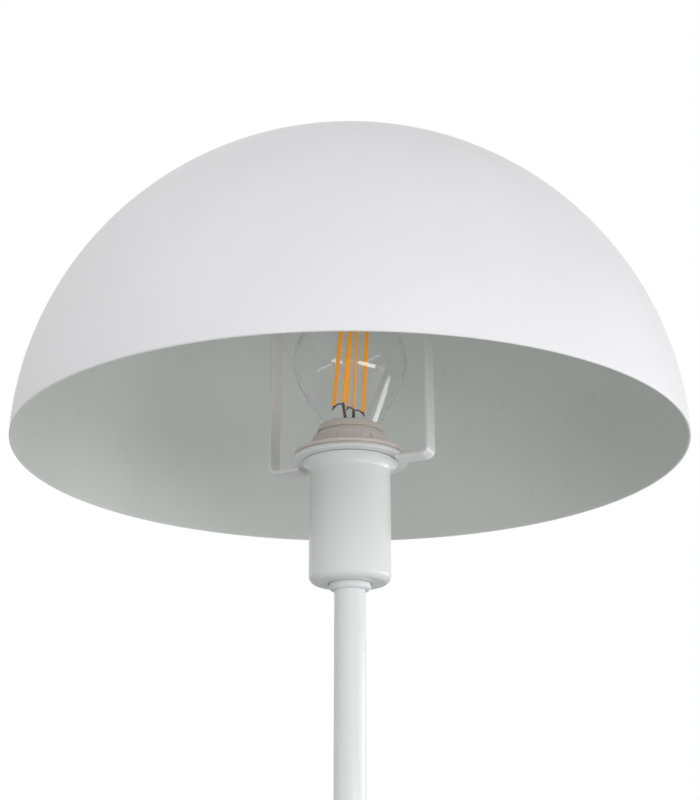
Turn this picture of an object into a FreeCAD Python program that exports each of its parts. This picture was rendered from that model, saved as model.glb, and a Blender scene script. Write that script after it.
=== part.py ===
import FreeCAD, Part
import math
import os

import Sketcher
from FreeCAD import Placement, Rotation, Vector

# Bedside table lamp: weighted round base, slim stem, lampholder in a cup, and a
# hemispherical shade carried by a flat bracket that is clamped on the lampholder.
# Millimetres. +Z is up, the table is at Z = 0, the stem stands on the Z axis,
# the cord leaves towards +Y and the two arms of the bracket lie along X.

SIZES = {
    # Base
    "base_radius": 85.0,
    "base_height": 22.0,
    "base_sheet": 1.2,
    "base_corner": 6.0,
    "base_lift": 1.0,
    "pad_thick": 2.0,
    "pad_inset": 0.5,
    "plate_thick": 1.5,
    "plate_gap": 0.8,
    "weight_radius": 70.0,
    "weight_thick": 12.0,
    "weight_web": 4.0,
    "nut_well_radius": 14.0,
    "channel_width": 34.0,
    "channel_depth": 6.0,
    "boss_radius": 6.0,
    "boss_circle": 52.0,
    "boss_root": 1.2,
    "boss_hole_spare": 0.5,
    "plate_screw_radius": 1.5,
    "plate_screw_head": 2.8,
    "plate_screw_sink": 1.3,
    "plate_screw_length": 10.0,
    # Cord inlet
    "gland_height": 10.5,
    "gland_bore": 3.4,
    "gland_barrel": 4.4,
    "gland_flange": 6.0,
    "gland_proud": 2.0,
    "gland_inside": 9.0,
    "gland_nut_flats": 12.0,
    "gland_nut_thick": 4.0,
    # Terminal block
    "block_width": 30.0,
    "block_depth": 16.0,
    "block_height": 9.8,
    "block_front": 40.0,
    "pole_pitch": 9.0,
    "sleeve_radius": 2.6,
    "sleeve_bore": 1.5,
    "sleeve_length": 14.0,
    "terminal_screw_radius": 1.5,
    "terminal_screw_pitch": 8.0,
    "block_screw_radius": 1.4,
    "block_screw_head": 2.5,
    "block_screw_head_thick": 1.2,
    "block_screw_grip": 4.0,
    # Leads
    "lead_radius": 1.1,
    "lead_offset": 1.3,
    "lead_bend": 4.5,
    "lead_end_bend": 3.0,
    "lead_strip": 4.0,
    # Stem and its threaded fittings
    "stem_radius": 6.0,
    "stem_bore": 4.5,
    "stem_length": 216.0,
    "stem_thread_depth": 16.0,
    "thread_radius": 4.95,
    "nipple_bore": 3.5,
    "nipple_tail": 0.5,
    "nut_flats": 14.0,
    "nut_thick": 4.0,
    "washer_radius": 9.0,
    "washer_thick": 1.0,
    "tag_radius": 8.5,
    "tag_thick": 0.8,
    "tag_reach": 12.8,
    "tag_width": 5.0,
    "collar_radius": 8.0,
    "collar_height": 2.7,
    "collar_round": 1.5,
    # Cup
    "cup_radius": 15.75,
    "cup_height": 47.8,
    "cup_wall": 1.0,
    "cup_corner": 3.5,
    "lip_radius": 18.6,
    "lip_thick": 0.6,
    "flare_height": 4.2,
    # Lampholder
    "holder_radius": 13.4,
    "holder_height": 57.6,
    "holder_neck": 8.0,
    "holder_neck_height": 5.0,
    "holder_thread_depth": 8.0,
    "holder_floor": 9.0,
    "holder_shoulder": 12.0,
    "holder_split": 22.0,
    "holder_spigot": 3.0,
    "holder_wall": 1.5,
    "insert_height": 21.0,
    "insert_thick": 4.0,
    "insert_radius": 10.3,
    "contact_height": 28.0,
    "contact_width": 4.0,
    "contact_sheet": 0.5,
    "contact_reach": 7.4,
    "clamp_offset": 5.4,
    "clamp_width": 5.0,
    "clamp_height": 6.0,
    "clamp_screw_radius": 1.3,
    "clamp_screw_head": 2.0,
    "clamp_screw_length": 5.0,
    "shell_radius": 8.3,
    "shell_bore": 7.3,
    "shell_bottom": 31.0,
    "shell_top": 47.9,
    "nose_bore": 11.7,
    "nose_depth": 6.5,
    "nose_ledge": 2.6,
    "nose_ledge_radius": 9.4,
    "nose_collar": 3.0,
    "nose_round": 1.0,
    "nose_radius": 13.1,
    "nose_cone_foot": 13.3,
    "nose_cone_top": 12.7,
    "nose_thread_length": 12.6,
    "nose_pitch": 2.0,
    "nose_ridge": 0.65,
    "ring_ridge": 0.55,
    "ring_bore_gap": 0.75,
    # Clamped ring and screw ring
    "bracket_ring_radius": 22.8,
    "bracket_ring_bore": 14.1,
    "bracket_ring_thick": 1.5,
    "ring_flange_radius": 21.9,
    "ring_flange_thick": 2.4,
    "ring_height": 9.1,
    "ring_skirt_foot": 16.3,
    "ring_skirt_top": 14.4,
    "ring_round": 0.5,
    # Bracket and shade
    "strip_thick": 1.5,
    "strip_width": 8.0,
    "strip_bend": 3.5,
    "arm_reach": 34.2,
    "foot_end": 20.5,
    "bracket_height": 127.3,
    "shade_radius": 130.0,
    "shade_wall": 1.0,
    "stud_shoulder": 4.5,
    "stud_shoulder_radius": 6.0,
    "stud_radius": 2.5,
    "stud_tail": 7.0,
    "crown_washer_radius": 5.0,
    "crown_washer_thick": 1.0,
    "crown_nut_flats": 8.0,
    "crown_nut_thick": 4.0,
    # Bulb
    "bulb_length": 79.8,
    "globe_radius": 22.7,
    "glass_wall": 0.8,
    "glass_cone_widening": 5.41,
    "glass_cone_rise": 10.0,
    "glass_seat": 8.15,
    "glass_seat_drop": 1.6,
    "cap_length": 22.6,
    "cap_skirt": 8.5,
    "cap_skirt_height": 1.8,
    "cap_flare": 1.8,
    "cap_root": 6.3,
    "cap_wall": 1.2,
    "cap_ridge": 0.8,
    "cap_turns": 4.5,
    "cap_pitch": 2.822,
    "cap_thread_start": 6.2,
    "shell_ridge": 0.75,
    "shell_turns": 3.5,
    "cap_bottom": 4.5,
    "button_radius": 2.4,
    "button_height": 1.2,
    "bulb_stem_radius": 3.0,
    "bulb_stem_height": 31.0,
    "filament_radius": 0.85,
    "filament_start": 37.1,
    "filament_length": 37.5,
    "filament_foot_spread": 5.45,
    "filament_top_spread": 4.2,
    "filament_foot_shift": 0.6,
    "filament_top_shift": 2.1,
    "filament_pair_gap": 5.7,
    "filament_third_gap": 3.7,
    "filament_post_radius": 0.6,
    "filament_turn": 67.0,
    "filament_arm_turn": 71.0,
    "filament_arm_angle": 86.0,
    "wire_radius": 0.35,
    "driver_width": 8.0,
    "driver_height": 11.0,
    "driver_thick": 1.2,
    # Clearances
    "thread_gap": 0.05,
    "ridge_sink": 0.15,
    "fit_gap": 0.1,
    "contact_gap": 0.1,
}

doc = FreeCAD.newDocument("table_lamp")
sheet = doc.addObject("Spreadsheet::Sheet", "Sizes")
for row, (alias, number) in enumerate(SIZES.items(), start=1):
    sheet.set(f"A{row}", alias)
    sheet.set(f"B{row}", str(number))
    sheet.setAlias(f"B{row}", alias)
doc.recompute()


class Size:
    """A number worked out from the sheet, with the formula that gives it."""

    def __init__(self, formula, value):
        self.formula = formula
        self.value = value

    def __add__(self, other):
        other = as_size(other)
        return Size(f"({self.formula} + {other.formula})", self.value + other.value)

    def __sub__(self, other):
        other = as_size(other)
        return Size(f"({self.formula} - {other.formula})", self.value - other.value)

    def __mul__(self, other):
        other = as_size(other)
        return Size(f"({self.formula} * {other.formula})", self.value * other.value)

    def __truediv__(self, other):
        other = as_size(other)
        return Size(f"({self.formula} / {other.formula})", self.value / other.value)

    def __radd__(self, other):
        return as_size(other) + self

    def __rsub__(self, other):
        return as_size(other) - self

    def __rmul__(self, other):
        return as_size(other) * self

    def __neg__(self):
        return as_size(0) - self


def as_size(number):
    """A Size as it is, or a plain number as a Size."""
    if isinstance(number, Size):
        return number
    return Size(repr(float(number)), float(number))


def root(size):
    """Square root of a Size."""
    return Size(f"sqrt({size.formula})", math.sqrt(size.value))


class Sheet:
    """Gives each alias of the spreadsheet as a Size."""

    def __getattr__(self, alias):
        return Size(f"Sizes.{alias}", float(sheet.get(alias)))


d = Sheet()
subparts = []


def bind(thing, name, size):
    """Bind a property of an object to the formula of a Size."""
    thing.setExpression(name, as_size(size).formula)


def keep(thing, label):
    """Name an object as one finished sub-part."""
    thing.Label = label
    subparts.append(thing)
    return thing


def place(thing, base, rotation=None):
    """Put an object at a point given by three Sizes."""
    point = Vector(*(as_size(part).value for part in base))
    thing.Placement = Placement(point, rotation or Rotation())
    for letter, part in zip("xyz", base):
        bind(thing, f"Placement.Base.{letter}", part)


ALONG = {
    "Z": Rotation(),
    "Y": Rotation(Vector(1, 0, 0), -90),
    "X": Rotation(Vector(0, 1, 0), 90),
}


def rod(name, radius, length, base, along="Z"):
    """Round bar that starts at base and runs along an axis."""
    thing = doc.addObject("Part::Cylinder", name)
    bind(thing, "Radius", radius)
    bind(thing, "Height", length)
    place(thing, base, ALONG[along])
    return thing


def taper(name, foot_radius, top_radius, length, base):
    """Upright cone."""
    thing = doc.addObject("Part::Cone", name)
    bind(thing, "Radius1", foot_radius)
    bind(thing, "Radius2", top_radius)
    bind(thing, "Height", length)
    place(thing, base)
    return thing


def block(name, sides, corner):
    """Rectangular block with its lowest corner at a point."""
    thing = doc.addObject("Part::Box", name)
    for prop, side in zip(("Length", "Width", "Height"), sides):
        bind(thing, prop, side)
    place(thing, corner)
    return thing


def hexagon(name, flats, thick, base, along="Z"):
    """Hexagonal bar, sized across its flats."""
    thing = doc.addObject("Part::Prism", name)
    thing.Polygon = 6
    bind(thing, "Circumradius", flats / root(as_size(3)))
    bind(thing, "Height", thick)
    place(thing, base, ALONG[along])
    return thing


def combine(kind, name, base, tools):
    """Apply one boolean to an object with each of the tools, one after another."""
    thing = base
    for tool in tools:
        before = thing
        thing = doc.addObject(kind, name)
        thing.Base = before
        thing.Tool = tool
    return thing


def fuse(name, base, *tools):
    """An object with others joined to it."""
    return combine("Part::Fuse", name, base, tools)


def cut(name, base, *tools):
    """An object with others taken away."""
    return combine("Part::Cut", name, base, tools)


def overlap(name, base, *tools):
    """What an object shares with others."""
    return combine("Part::Common", name, base, tools)


def group(name, things):
    """Separate solids that share one sub-part."""
    thing = doc.addObject("Part::Compound", name)
    thing.Links = list(things)
    return thing


class Bend:
    """Marks a corner of an outline after which an arc runs to the next corner."""

    def __init__(self, across, up, radius, left):
        self.across = across
        self.up = up
        self.radius = as_size(radius)
        self.left = left


def arc_between(start, end, radius, left):
    """Sketch arc from start to end whose centre lies on the left or right of the way there."""
    chord = end - start
    half = chord.Length / 2
    height = math.sqrt(max(radius * radius - half * half, 0.0))
    side = Vector(-chord.y, chord.x, 0).normalize()
    centre = (start + end) * 0.5 + side * (height if left else -height)
    first, last = (start, end) if left else (end, start)
    first_angle = math.atan2(first.y - centre.y, first.x - centre.x)
    last_angle = math.atan2(last.y - centre.y, last.x - centre.x)
    if last_angle < first_angle:
        last_angle += 2 * math.pi
    return Part.ArcOfCircle(Part.Circle(centre, Vector(0, 0, 1), radius), first_angle, last_angle)


def outline(body, name, plane, corners):
    """Closed sketch through corners whose places, and arcs whose radii, are bound to the sheet.

    A corner is a pair (across, up), joined to the next corner by a line, or a Bend.
    """
    support = [part for part in body.Origin.OriginFeatures if part.Role == plane][0]
    sketch = body.newObject("Sketcher::SketchObject", name)
    sketch.AttachmentSupport = [(support, "")]
    sketch.MapMode = "FlatFace"
    pairs = []
    for corner in corners:
        pair = (corner.across, corner.up) if isinstance(corner, Bend) else corner
        pairs.append((as_size(pair[0]), as_size(pair[1])))
    points = [Vector(pair[0].value, pair[1].value, 0) for pair in pairs]
    ends = []
    for index, corner in enumerate(corners):
        start = points[index]
        end = points[(index + 1) % len(points)]
        if isinstance(corner, Bend):
            edge = sketch.addGeometry(arc_between(start, end, corner.radius.value, corner.left), False)
            ends.append((edge, 1, 2) if corner.left else (edge, 2, 1))
            number = sketch.addConstraint(Sketcher.Constraint("Radius", edge, corner.radius.value))
            bind(sketch, f"Constraints[{number}]", corner.radius)
        else:
            edge = sketch.addGeometry(Part.LineSegment(start, end), False)
            ends.append((edge, 1, 2))
    for index, (edge, first, _) in enumerate(ends):
        before = ends[index - 1]
        sketch.addConstraint(Sketcher.Constraint("Coincident", before[0], before[2], edge, first))
        for kind, axis, size in (("DistanceX", -2, pairs[index][0]), ("DistanceY", -1, pairs[index][1])):
            if size.formula == "0.0":
                sketch.addConstraint(Sketcher.Constraint("PointOnObject", edge, first, axis))
            else:
                number = sketch.addConstraint(Sketcher.Constraint(kind, -1, 1, edge, first, size.value))
                bind(sketch, f"Constraints[{number}]", size)
    return sketch


def turned(name, corners):
    """Body turned about the Z axis from an outline of (radius, height) corners."""
    body = doc.addObject("PartDesign::Body", name)
    sketch = outline(body, name + "_profile", "XZ_Plane", corners)
    feature = body.newObject("PartDesign::Revolution", name + "_turn")
    feature.Profile = sketch
    feature.ReferenceAxis = (sketch, ["V_Axis"])
    feature.Angle = 360
    body.Tip = feature
    return body


def bent_strip(name, corners, width):
    """Body of constant width whose edge is an outline of (x, z) corners."""
    body = doc.addObject("PartDesign::Body", name)
    sketch = outline(body, name + "_edge", "XZ_Plane", corners)
    feature = body.newObject("PartDesign::Pad", name + "_pad")
    feature.Profile = sketch
    feature.Midplane = True
    bind(feature, "Length", width)
    body.Tip = feature
    return body


def washer(name, inner, outer, bottom, top):
    """Flat ring about the Z axis."""
    return turned(name, [(inner, bottom), (outer, bottom), (outer, top), (inner, top)])


def thread_ridge(name, radius, ridge, pitch, turns, bottom):
    """Round ridge wound right-handed about the Z axis."""
    path = doc.addObject("Part::Helix", name + "_path")
    path.Style = "New style"
    bind(path, "Radius", radius)
    bind(path, "Pitch", pitch)
    bind(path, "Height", pitch * turns)
    place(path, (as_size(0), as_size(0), bottom))
    section = doc.addObject("Part::Circle", name + "_section")
    bind(section, "Radius", ridge)
    place(section, (radius, as_size(0), bottom), Rotation(Vector(1, 0, 0), 90))
    thing = doc.addObject("Part::Sweep", name)
    thing.Sections = [section]
    thing.Spine = (path, [])
    thing.Solid = True
    thing.Frenet = True
    return thing


def solid(name, shape):
    """Sub-part whose shape is worked out from the sheet by Part's own functions."""
    thing = doc.addObject("Part::Feature", name)
    thing.Shape = shape
    thing.Placement = Placement()
    return thing


def round_tube(points, bends, radius):
    """Round wire along straight runs, with a tangent arc of the given radius at each inner point."""
    edges = []
    start = points[0]
    for index, bend in enumerate(bends, start=1):
        corner = points[index]
        back = (points[index - 1] - corner).normalize()
        ahead = (points[index + 1] - corner).normalize()
        half_angle = back.getAngle(ahead) / 2
        reach = bend / math.tan(half_angle)
        middle_way = (back + ahead).normalize()
        middle = corner + middle_way * (bend / math.sin(half_angle) - bend)
        arc_start = corner + back * reach
        arc_end = corner + ahead * reach
        edges.append(Part.LineSegment(start, arc_start).toShape())
        edges.append(Part.Arc(arc_start, middle, arc_end).toShape())
        start = arc_end
    edges.append(Part.LineSegment(start, points[-1]).toShape())
    path = Part.Wire(edges)
    section = Part.Wire([Part.Circle(points[0], points[1] - points[0], radius).toShape()])
    return path.makePipeShell([section], True, False)


# Heights and places that several pieces share

zero = as_size(0)
plate_top = d.pad_thick + d.plate_thick
cover_under = d.base_height - d.base_sheet
weight_bottom = cover_under - d.weight_thick
web_bottom = cover_under - d.weight_web
channel_roof = weight_bottom + d.channel_depth
tag_bottom = web_bottom - d.tag_thick
washer_bottom = tag_bottom - d.washer_thick
stem_nut_bottom = washer_bottom - d.nut_thick
lower_nipple_bottom = stem_nut_bottom - d.nipple_tail
stem_top = d.base_height + d.stem_length
cup_bottom = stem_top + d.collar_height
cup_floor = cup_bottom + d.cup_wall
holder_bottom = cup_floor + d.nut_thick
holder_top = holder_bottom + d.holder_height
lip_top = cup_bottom + d.cup_height
ring_bottom = lip_top + d.bracket_ring_thick
foot_bottom = lip_top - d.strip_thick
bridge_top = foot_bottom + d.bracket_height
crown_inside = bridge_top + d.stud_shoulder
shade_inside = d.shade_radius - d.shade_wall
rim = crown_inside - shade_inside
bulb_bottom = holder_bottom + d.contact_height + d.contact_gap
hole_radius = d.thread_radius + d.fit_gap
threaded_hole = d.thread_radius + d.thread_gap
block_middle = d.block_front + d.block_depth / 2
block_screw_places = (-d.pole_pitch / 2, d.pole_pitch / 2)
block_bottom = channel_roof - d.block_height
sleeve_height = channel_roof - d.block_height / 2
poles = (-d.pole_pitch, zero, d.pole_pitch)


def base():
    """Pad, plate, cast weight and pressed cover, with the screws that close the base."""
    plate_radius = d.base_radius - d.base_sheet - d.plate_gap
    pad_radius = plate_radius - d.pad_inset
    pad = turned("pad", [
        (zero, zero), (pad_radius, zero), (pad_radius, d.pad_thick), (zero, d.pad_thick),
    ])
    keep(pad, "base_pad")

    screw_hole = d.plate_screw_radius + d.fit_gap
    head_hole = d.plate_screw_head + d.fit_gap
    hole_depth = d.plate_screw_length + d.boss_hole_spare
    boss_height = weight_bottom + d.boss_root - plate_top
    bosses = []
    holes = []
    sinks = []
    screws = []
    for number, angle in enumerate((30, 150, 270), start=1):
        across = d.boss_circle * math.cos(math.radians(angle))
        along = d.boss_circle * math.sin(math.radians(angle))
        foot = (across, along, d.pad_thick)
        bosses.append(rod(f"boss_{number}", d.boss_radius, boss_height, (across, along, plate_top)))
        holes.append(rod(f"boss_hole_{number}", screw_hole, hole_depth, foot))
        through = rod(f"plate_hole_{number}", screw_hole, d.plate_thick, foot)
        sink = taper(f"sink_{number}", head_hole, screw_hole, d.plate_screw_sink, foot)
        sinks.extend((through, sink))
        shank = rod(f"screw_shank_{number}", d.plate_screw_radius, d.plate_screw_length, foot)
        head = taper(f"screw_head_{number}", d.plate_screw_head, d.plate_screw_radius,
                     d.plate_screw_sink, foot)
        screws.append(fuse(f"plate_screw_{number}", shank, head))

    disc = turned("plate_disc", [
        (zero, d.pad_thick), (plate_radius, d.pad_thick), (plate_radius, plate_top), (zero, plate_top),
    ])
    keep(cut("plate", disc, *sinks), "bottom_plate")
    keep(group("closing_screws", screws), "plate_screws")

    casting = turned("weight_disc", [
        (hole_radius, web_bottom), (d.nut_well_radius, web_bottom),
        (d.nut_well_radius, weight_bottom), (d.weight_radius, weight_bottom),
        (d.weight_radius, cover_under), (hole_radius, cover_under),
    ])
    channel_sides = (d.channel_width, d.weight_radius * 2, d.channel_depth)
    channel = block("channel", channel_sides, (-d.channel_width / 2, zero, weight_bottom))
    block_holes = [
        rod(f"block_hole_{number}", d.block_screw_radius + d.fit_gap, d.block_screw_grip + d.fit_gap,
            (across, block_middle, channel_roof))
        for number, across in enumerate(block_screw_places, start=1)
    ]
    bossed = fuse("bossed_weight", casting, *bosses)
    keep(cut("weight", bossed, channel, *holes, *block_holes), "base_weight")

    corner_inside = d.base_corner - d.base_sheet
    flat_edge = d.base_radius - d.base_corner
    corner_foot = d.base_height - d.base_corner
    wall_inside = d.base_radius - d.base_sheet
    shell = turned("cover_shell", [
        (hole_radius, cover_under), (hole_radius, d.base_height),
        Bend(flat_edge, d.base_height, d.base_corner, left=False), (d.base_radius, corner_foot),
        (d.base_radius, d.base_lift), (wall_inside, d.base_lift),
        Bend(wall_inside, corner_foot, corner_inside, left=True), (flat_edge, cover_under),
    ])
    inlet = rod("inlet_hole", d.gland_barrel + d.fit_gap, d.base_radius,
                (zero, d.weight_radius, d.gland_height), "Y")
    keep(cut("cover", shell, inlet), "base_cover")


def cord_inlet():
    """Gland in the back of the base with its nut."""
    wall_inside = d.base_radius - d.base_sheet
    flange_start = d.base_radius - d.gland_proud
    flange = rod("gland_flange_bar", d.gland_flange, d.gland_proud * 2,
                 (zero, flange_start, d.gland_height), "Y")
    cover_solid = rod("gland_seat", d.base_radius, d.base_height, (zero, zero, zero))
    seated = cut("gland_flange_part", flange, cover_solid)
    barrel_start = wall_inside - d.gland_inside
    barrel_length = d.gland_inside + d.base_sheet + d.gland_proud
    barrel = rod("gland_barrel_bar", d.gland_barrel, barrel_length,
                 (zero, barrel_start, d.gland_height), "Y")
    bore = rod("gland_bore_bar", d.gland_bore, barrel_length * 2,
               (zero, barrel_start - d.base_sheet, d.gland_height), "Y")
    keep(cut("gland", fuse("gland_blank", seated, barrel), bore), "cord_gland")

    corner = d.gland_nut_flats / root(as_size(3))
    nut_back = root(wall_inside * wall_inside - corner * corner) - d.fit_gap
    nut_start = nut_back - d.gland_nut_thick
    nut_foot = (zero, nut_start, d.gland_height)
    nut = hexagon("gland_nut_bar", d.gland_nut_flats, d.gland_nut_thick, nut_foot, "Y")
    hole = rod("gland_nut_hole", d.gland_barrel + d.thread_gap, d.gland_nut_thick, nut_foot, "Y")
    keep(cut("inlet_nut", nut, hole), "gland_nut")


def terminals():
    """Three-pole terminal block under the weight, with its brass sleeves and screws."""
    body = block("block_bar", (d.block_width, d.block_depth, d.block_height),
                 (-d.block_width / 2, d.block_front, block_bottom))
    tools = []
    sleeves = []
    screws = []
    sleeve_start = block_middle - d.sleeve_length / 2
    screw_hole = d.terminal_screw_radius + d.fit_gap
    screw_room = sleeve_height - block_bottom
    screw_length = screw_room - d.sleeve_bore - d.fit_gap
    for number, across in enumerate(poles, start=1):
        tools.append(rod(f"pole_bore_{number}", d.sleeve_radius + d.fit_gap, d.block_depth,
                         (across, d.block_front, sleeve_height), "Y"))
        sleeve_foot = (across, sleeve_start, sleeve_height)
        tube = rod(f"sleeve_bar_{number}", d.sleeve_radius, d.sleeve_length, sleeve_foot, "Y")
        hollow = [rod(f"sleeve_bore_{number}", d.sleeve_bore, d.sleeve_length, sleeve_foot, "Y")]
        for side, offset in (("front", -d.terminal_screw_pitch / 2), ("back", d.terminal_screw_pitch / 2)):
            foot = (across, block_middle + offset, block_bottom)
            tools.append(rod(f"well_{side}_{number}", screw_hole, screw_room, foot))
            hollow.append(rod(f"tapping_{side}_{number}", screw_hole, screw_room, foot))
            screws.append(rod(f"terminal_screw_{side}_{number}", d.terminal_screw_radius,
                              screw_length, foot))
        sleeves.append(cut(f"sleeve_{number}", tube, *hollow))
    fixings = []
    for number, across in enumerate(block_screw_places, start=1):
        tools.append(rod(f"fixing_hole_{number}", d.block_screw_radius + d.fit_gap, d.block_height,
                         (across, block_middle, block_bottom)))
        head_bottom = block_bottom - d.block_screw_head_thick
        head = rod(f"fixing_head_{number}", d.block_screw_head, d.block_screw_head_thick,
                   (across, block_middle, head_bottom))
        shank = rod(f"fixing_shank_{number}", d.block_screw_radius,
                    d.block_screw_head_thick + d.block_height + d.block_screw_grip,
                    (across, block_middle, head_bottom))
        fixings.append(fuse(f"fixing_{number}", head, shank))
    keep(cut("pole_block", body, *tools), "terminal_block")
    keep(group("sleeves", sleeves), "terminal_sleeves")
    keep(group("pole_screws", screws), "terminal_screws")
    keep(group("fixings", fixings), "block_screws")


def stem():
    """Tube on the base, held at both ends by threaded nipples, with the nuts, washer and collar."""
    thread_end = d.base_height + d.stem_thread_depth
    thread_start = stem_top - d.stem_thread_depth
    keep(turned("tube", [
        (threaded_hole, d.base_height), (d.stem_radius, d.base_height),
        (d.stem_radius, stem_top), (threaded_hole, stem_top),
        (threaded_hole, thread_start), (d.stem_bore, thread_start),
        (d.stem_bore, thread_end), (threaded_hole, thread_end),
    ]), "stem_tube")
    engaged = d.stem_thread_depth - d.nipple_tail
    upper_top = holder_bottom + d.holder_thread_depth
    keep(washer("nipple_low", d.nipple_bore, d.thread_radius, lower_nipple_bottom, d.base_height + engaged),
         "lower_nipple")
    keep(washer("nipple_high", d.nipple_bore, d.thread_radius, stem_top - engaged, upper_top),
         "upper_nipple")
    for name, bottom in (("stem_nut", stem_nut_bottom), ("cup_nut", cup_floor)):
        bar = hexagon(name + "_bar", d.nut_flats, d.nut_thick, (zero, zero, bottom))
        hole = rod(name + "_hole", threaded_hole, d.nut_thick, (zero, zero, bottom))
        keep(cut(name + "_part", bar, hole), name)
    keep(washer("washer_ring", hole_radius, d.washer_radius, washer_bottom, tag_bottom), "lock_washer")

    tag_ring = rod("tag_ring", d.tag_radius, d.tag_thick, (zero, zero, tag_bottom))
    tongue = block("tag_tongue", (d.tag_width, d.tag_reach, d.tag_thick),
                   (-d.tag_width / 2, zero, tag_bottom))
    tag_hole = rod("tag_hole", hole_radius, d.tag_thick, (zero, zero, tag_bottom))
    keep(cut("tag", fuse("tag_blank", tag_ring, tongue), tag_hole), "earth_tag")

    round_top = stem_top + d.collar_round
    round_edge = d.collar_radius - d.collar_round
    keep(turned("collar", [
        (hole_radius, stem_top), Bend(round_edge, stem_top, d.collar_round, left=True),
        (d.collar_radius, round_top), (d.collar_radius, cup_bottom), (hole_radius, cup_bottom),
    ]), "stem_collar")


def leads():
    """Live and neutral leads up the stem, and the earth lead to the tag under the nut."""
    radius = d.lead_radius.value
    middle = block_middle.value
    front = d.block_front.value
    height = sleeve_height.value
    bend = d.lead_bend.value
    end_bend = d.lead_end_bend.value
    turn_height = lower_nipple_bottom.value - bend
    nipple_top = (holder_bottom + d.holder_thread_depth).value
    clamp_bottom = (holder_bottom + d.insert_height - d.clamp_height).value
    lead_end = front + d.lead_strip.value
    for name, side in (("live_lead", 1), ("neutral_lead", -1)):
        pole = side * d.pole_pitch.value
        inside = side * d.lead_offset.value
        clamp = side * d.clamp_offset.value
        points = [
            Vector(pole, lead_end, height),
            Vector(pole, front - bend, height),
            Vector(inside, 0, turn_height),
            Vector(inside, 0, nipple_top + radius),
            Vector(clamp, 0, clamp_bottom - radius),
            Vector(clamp, 0, clamp_bottom + d.lead_strip.value),
        ]
        keep(solid(name + "_wire", round_tube(points, (bend, bend, end_bend, end_bend), radius)), name)
    tag_lead = d.tag_reach.value - radius - d.fit_gap.value
    points = [
        Vector(0, lead_end, height),
        Vector(0, tag_lead, height),
        Vector(0, tag_lead, tag_bottom.value),
    ]
    keep(solid("earth_wire", round_tube(points, (bend,), radius)), "earth_lead")


def cup():
    """Turned cup round the lampholder, with a flared lip that the bracket ring sits on."""
    lip_under = lip_top - d.lip_thick
    flare_foot = lip_under - d.flare_height
    flare_width = d.lip_radius - d.cup_radius
    flare = (flare_width * flare_width + d.flare_height * d.flare_height) / (flare_width * 2)
    inside = d.cup_radius - d.cup_wall
    inner_corner = d.cup_corner - d.cup_wall
    corner_edge = d.cup_radius - d.cup_corner
    corner_top = cup_bottom + d.cup_corner
    keep(turned("cup", [
        (hole_radius, cup_bottom), Bend(corner_edge, cup_bottom, d.cup_corner, left=True),
        (d.cup_radius, corner_top), Bend(d.cup_radius, flare_foot, flare, left=False),
        (d.lip_radius, lip_under), (d.lip_radius, lip_top), (inside, lip_top),
        Bend(inside, corner_top, inner_corner, left=False), (corner_edge, cup_floor),
        (hole_radius, cup_floor),
    ]), "socket_cup")


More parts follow.
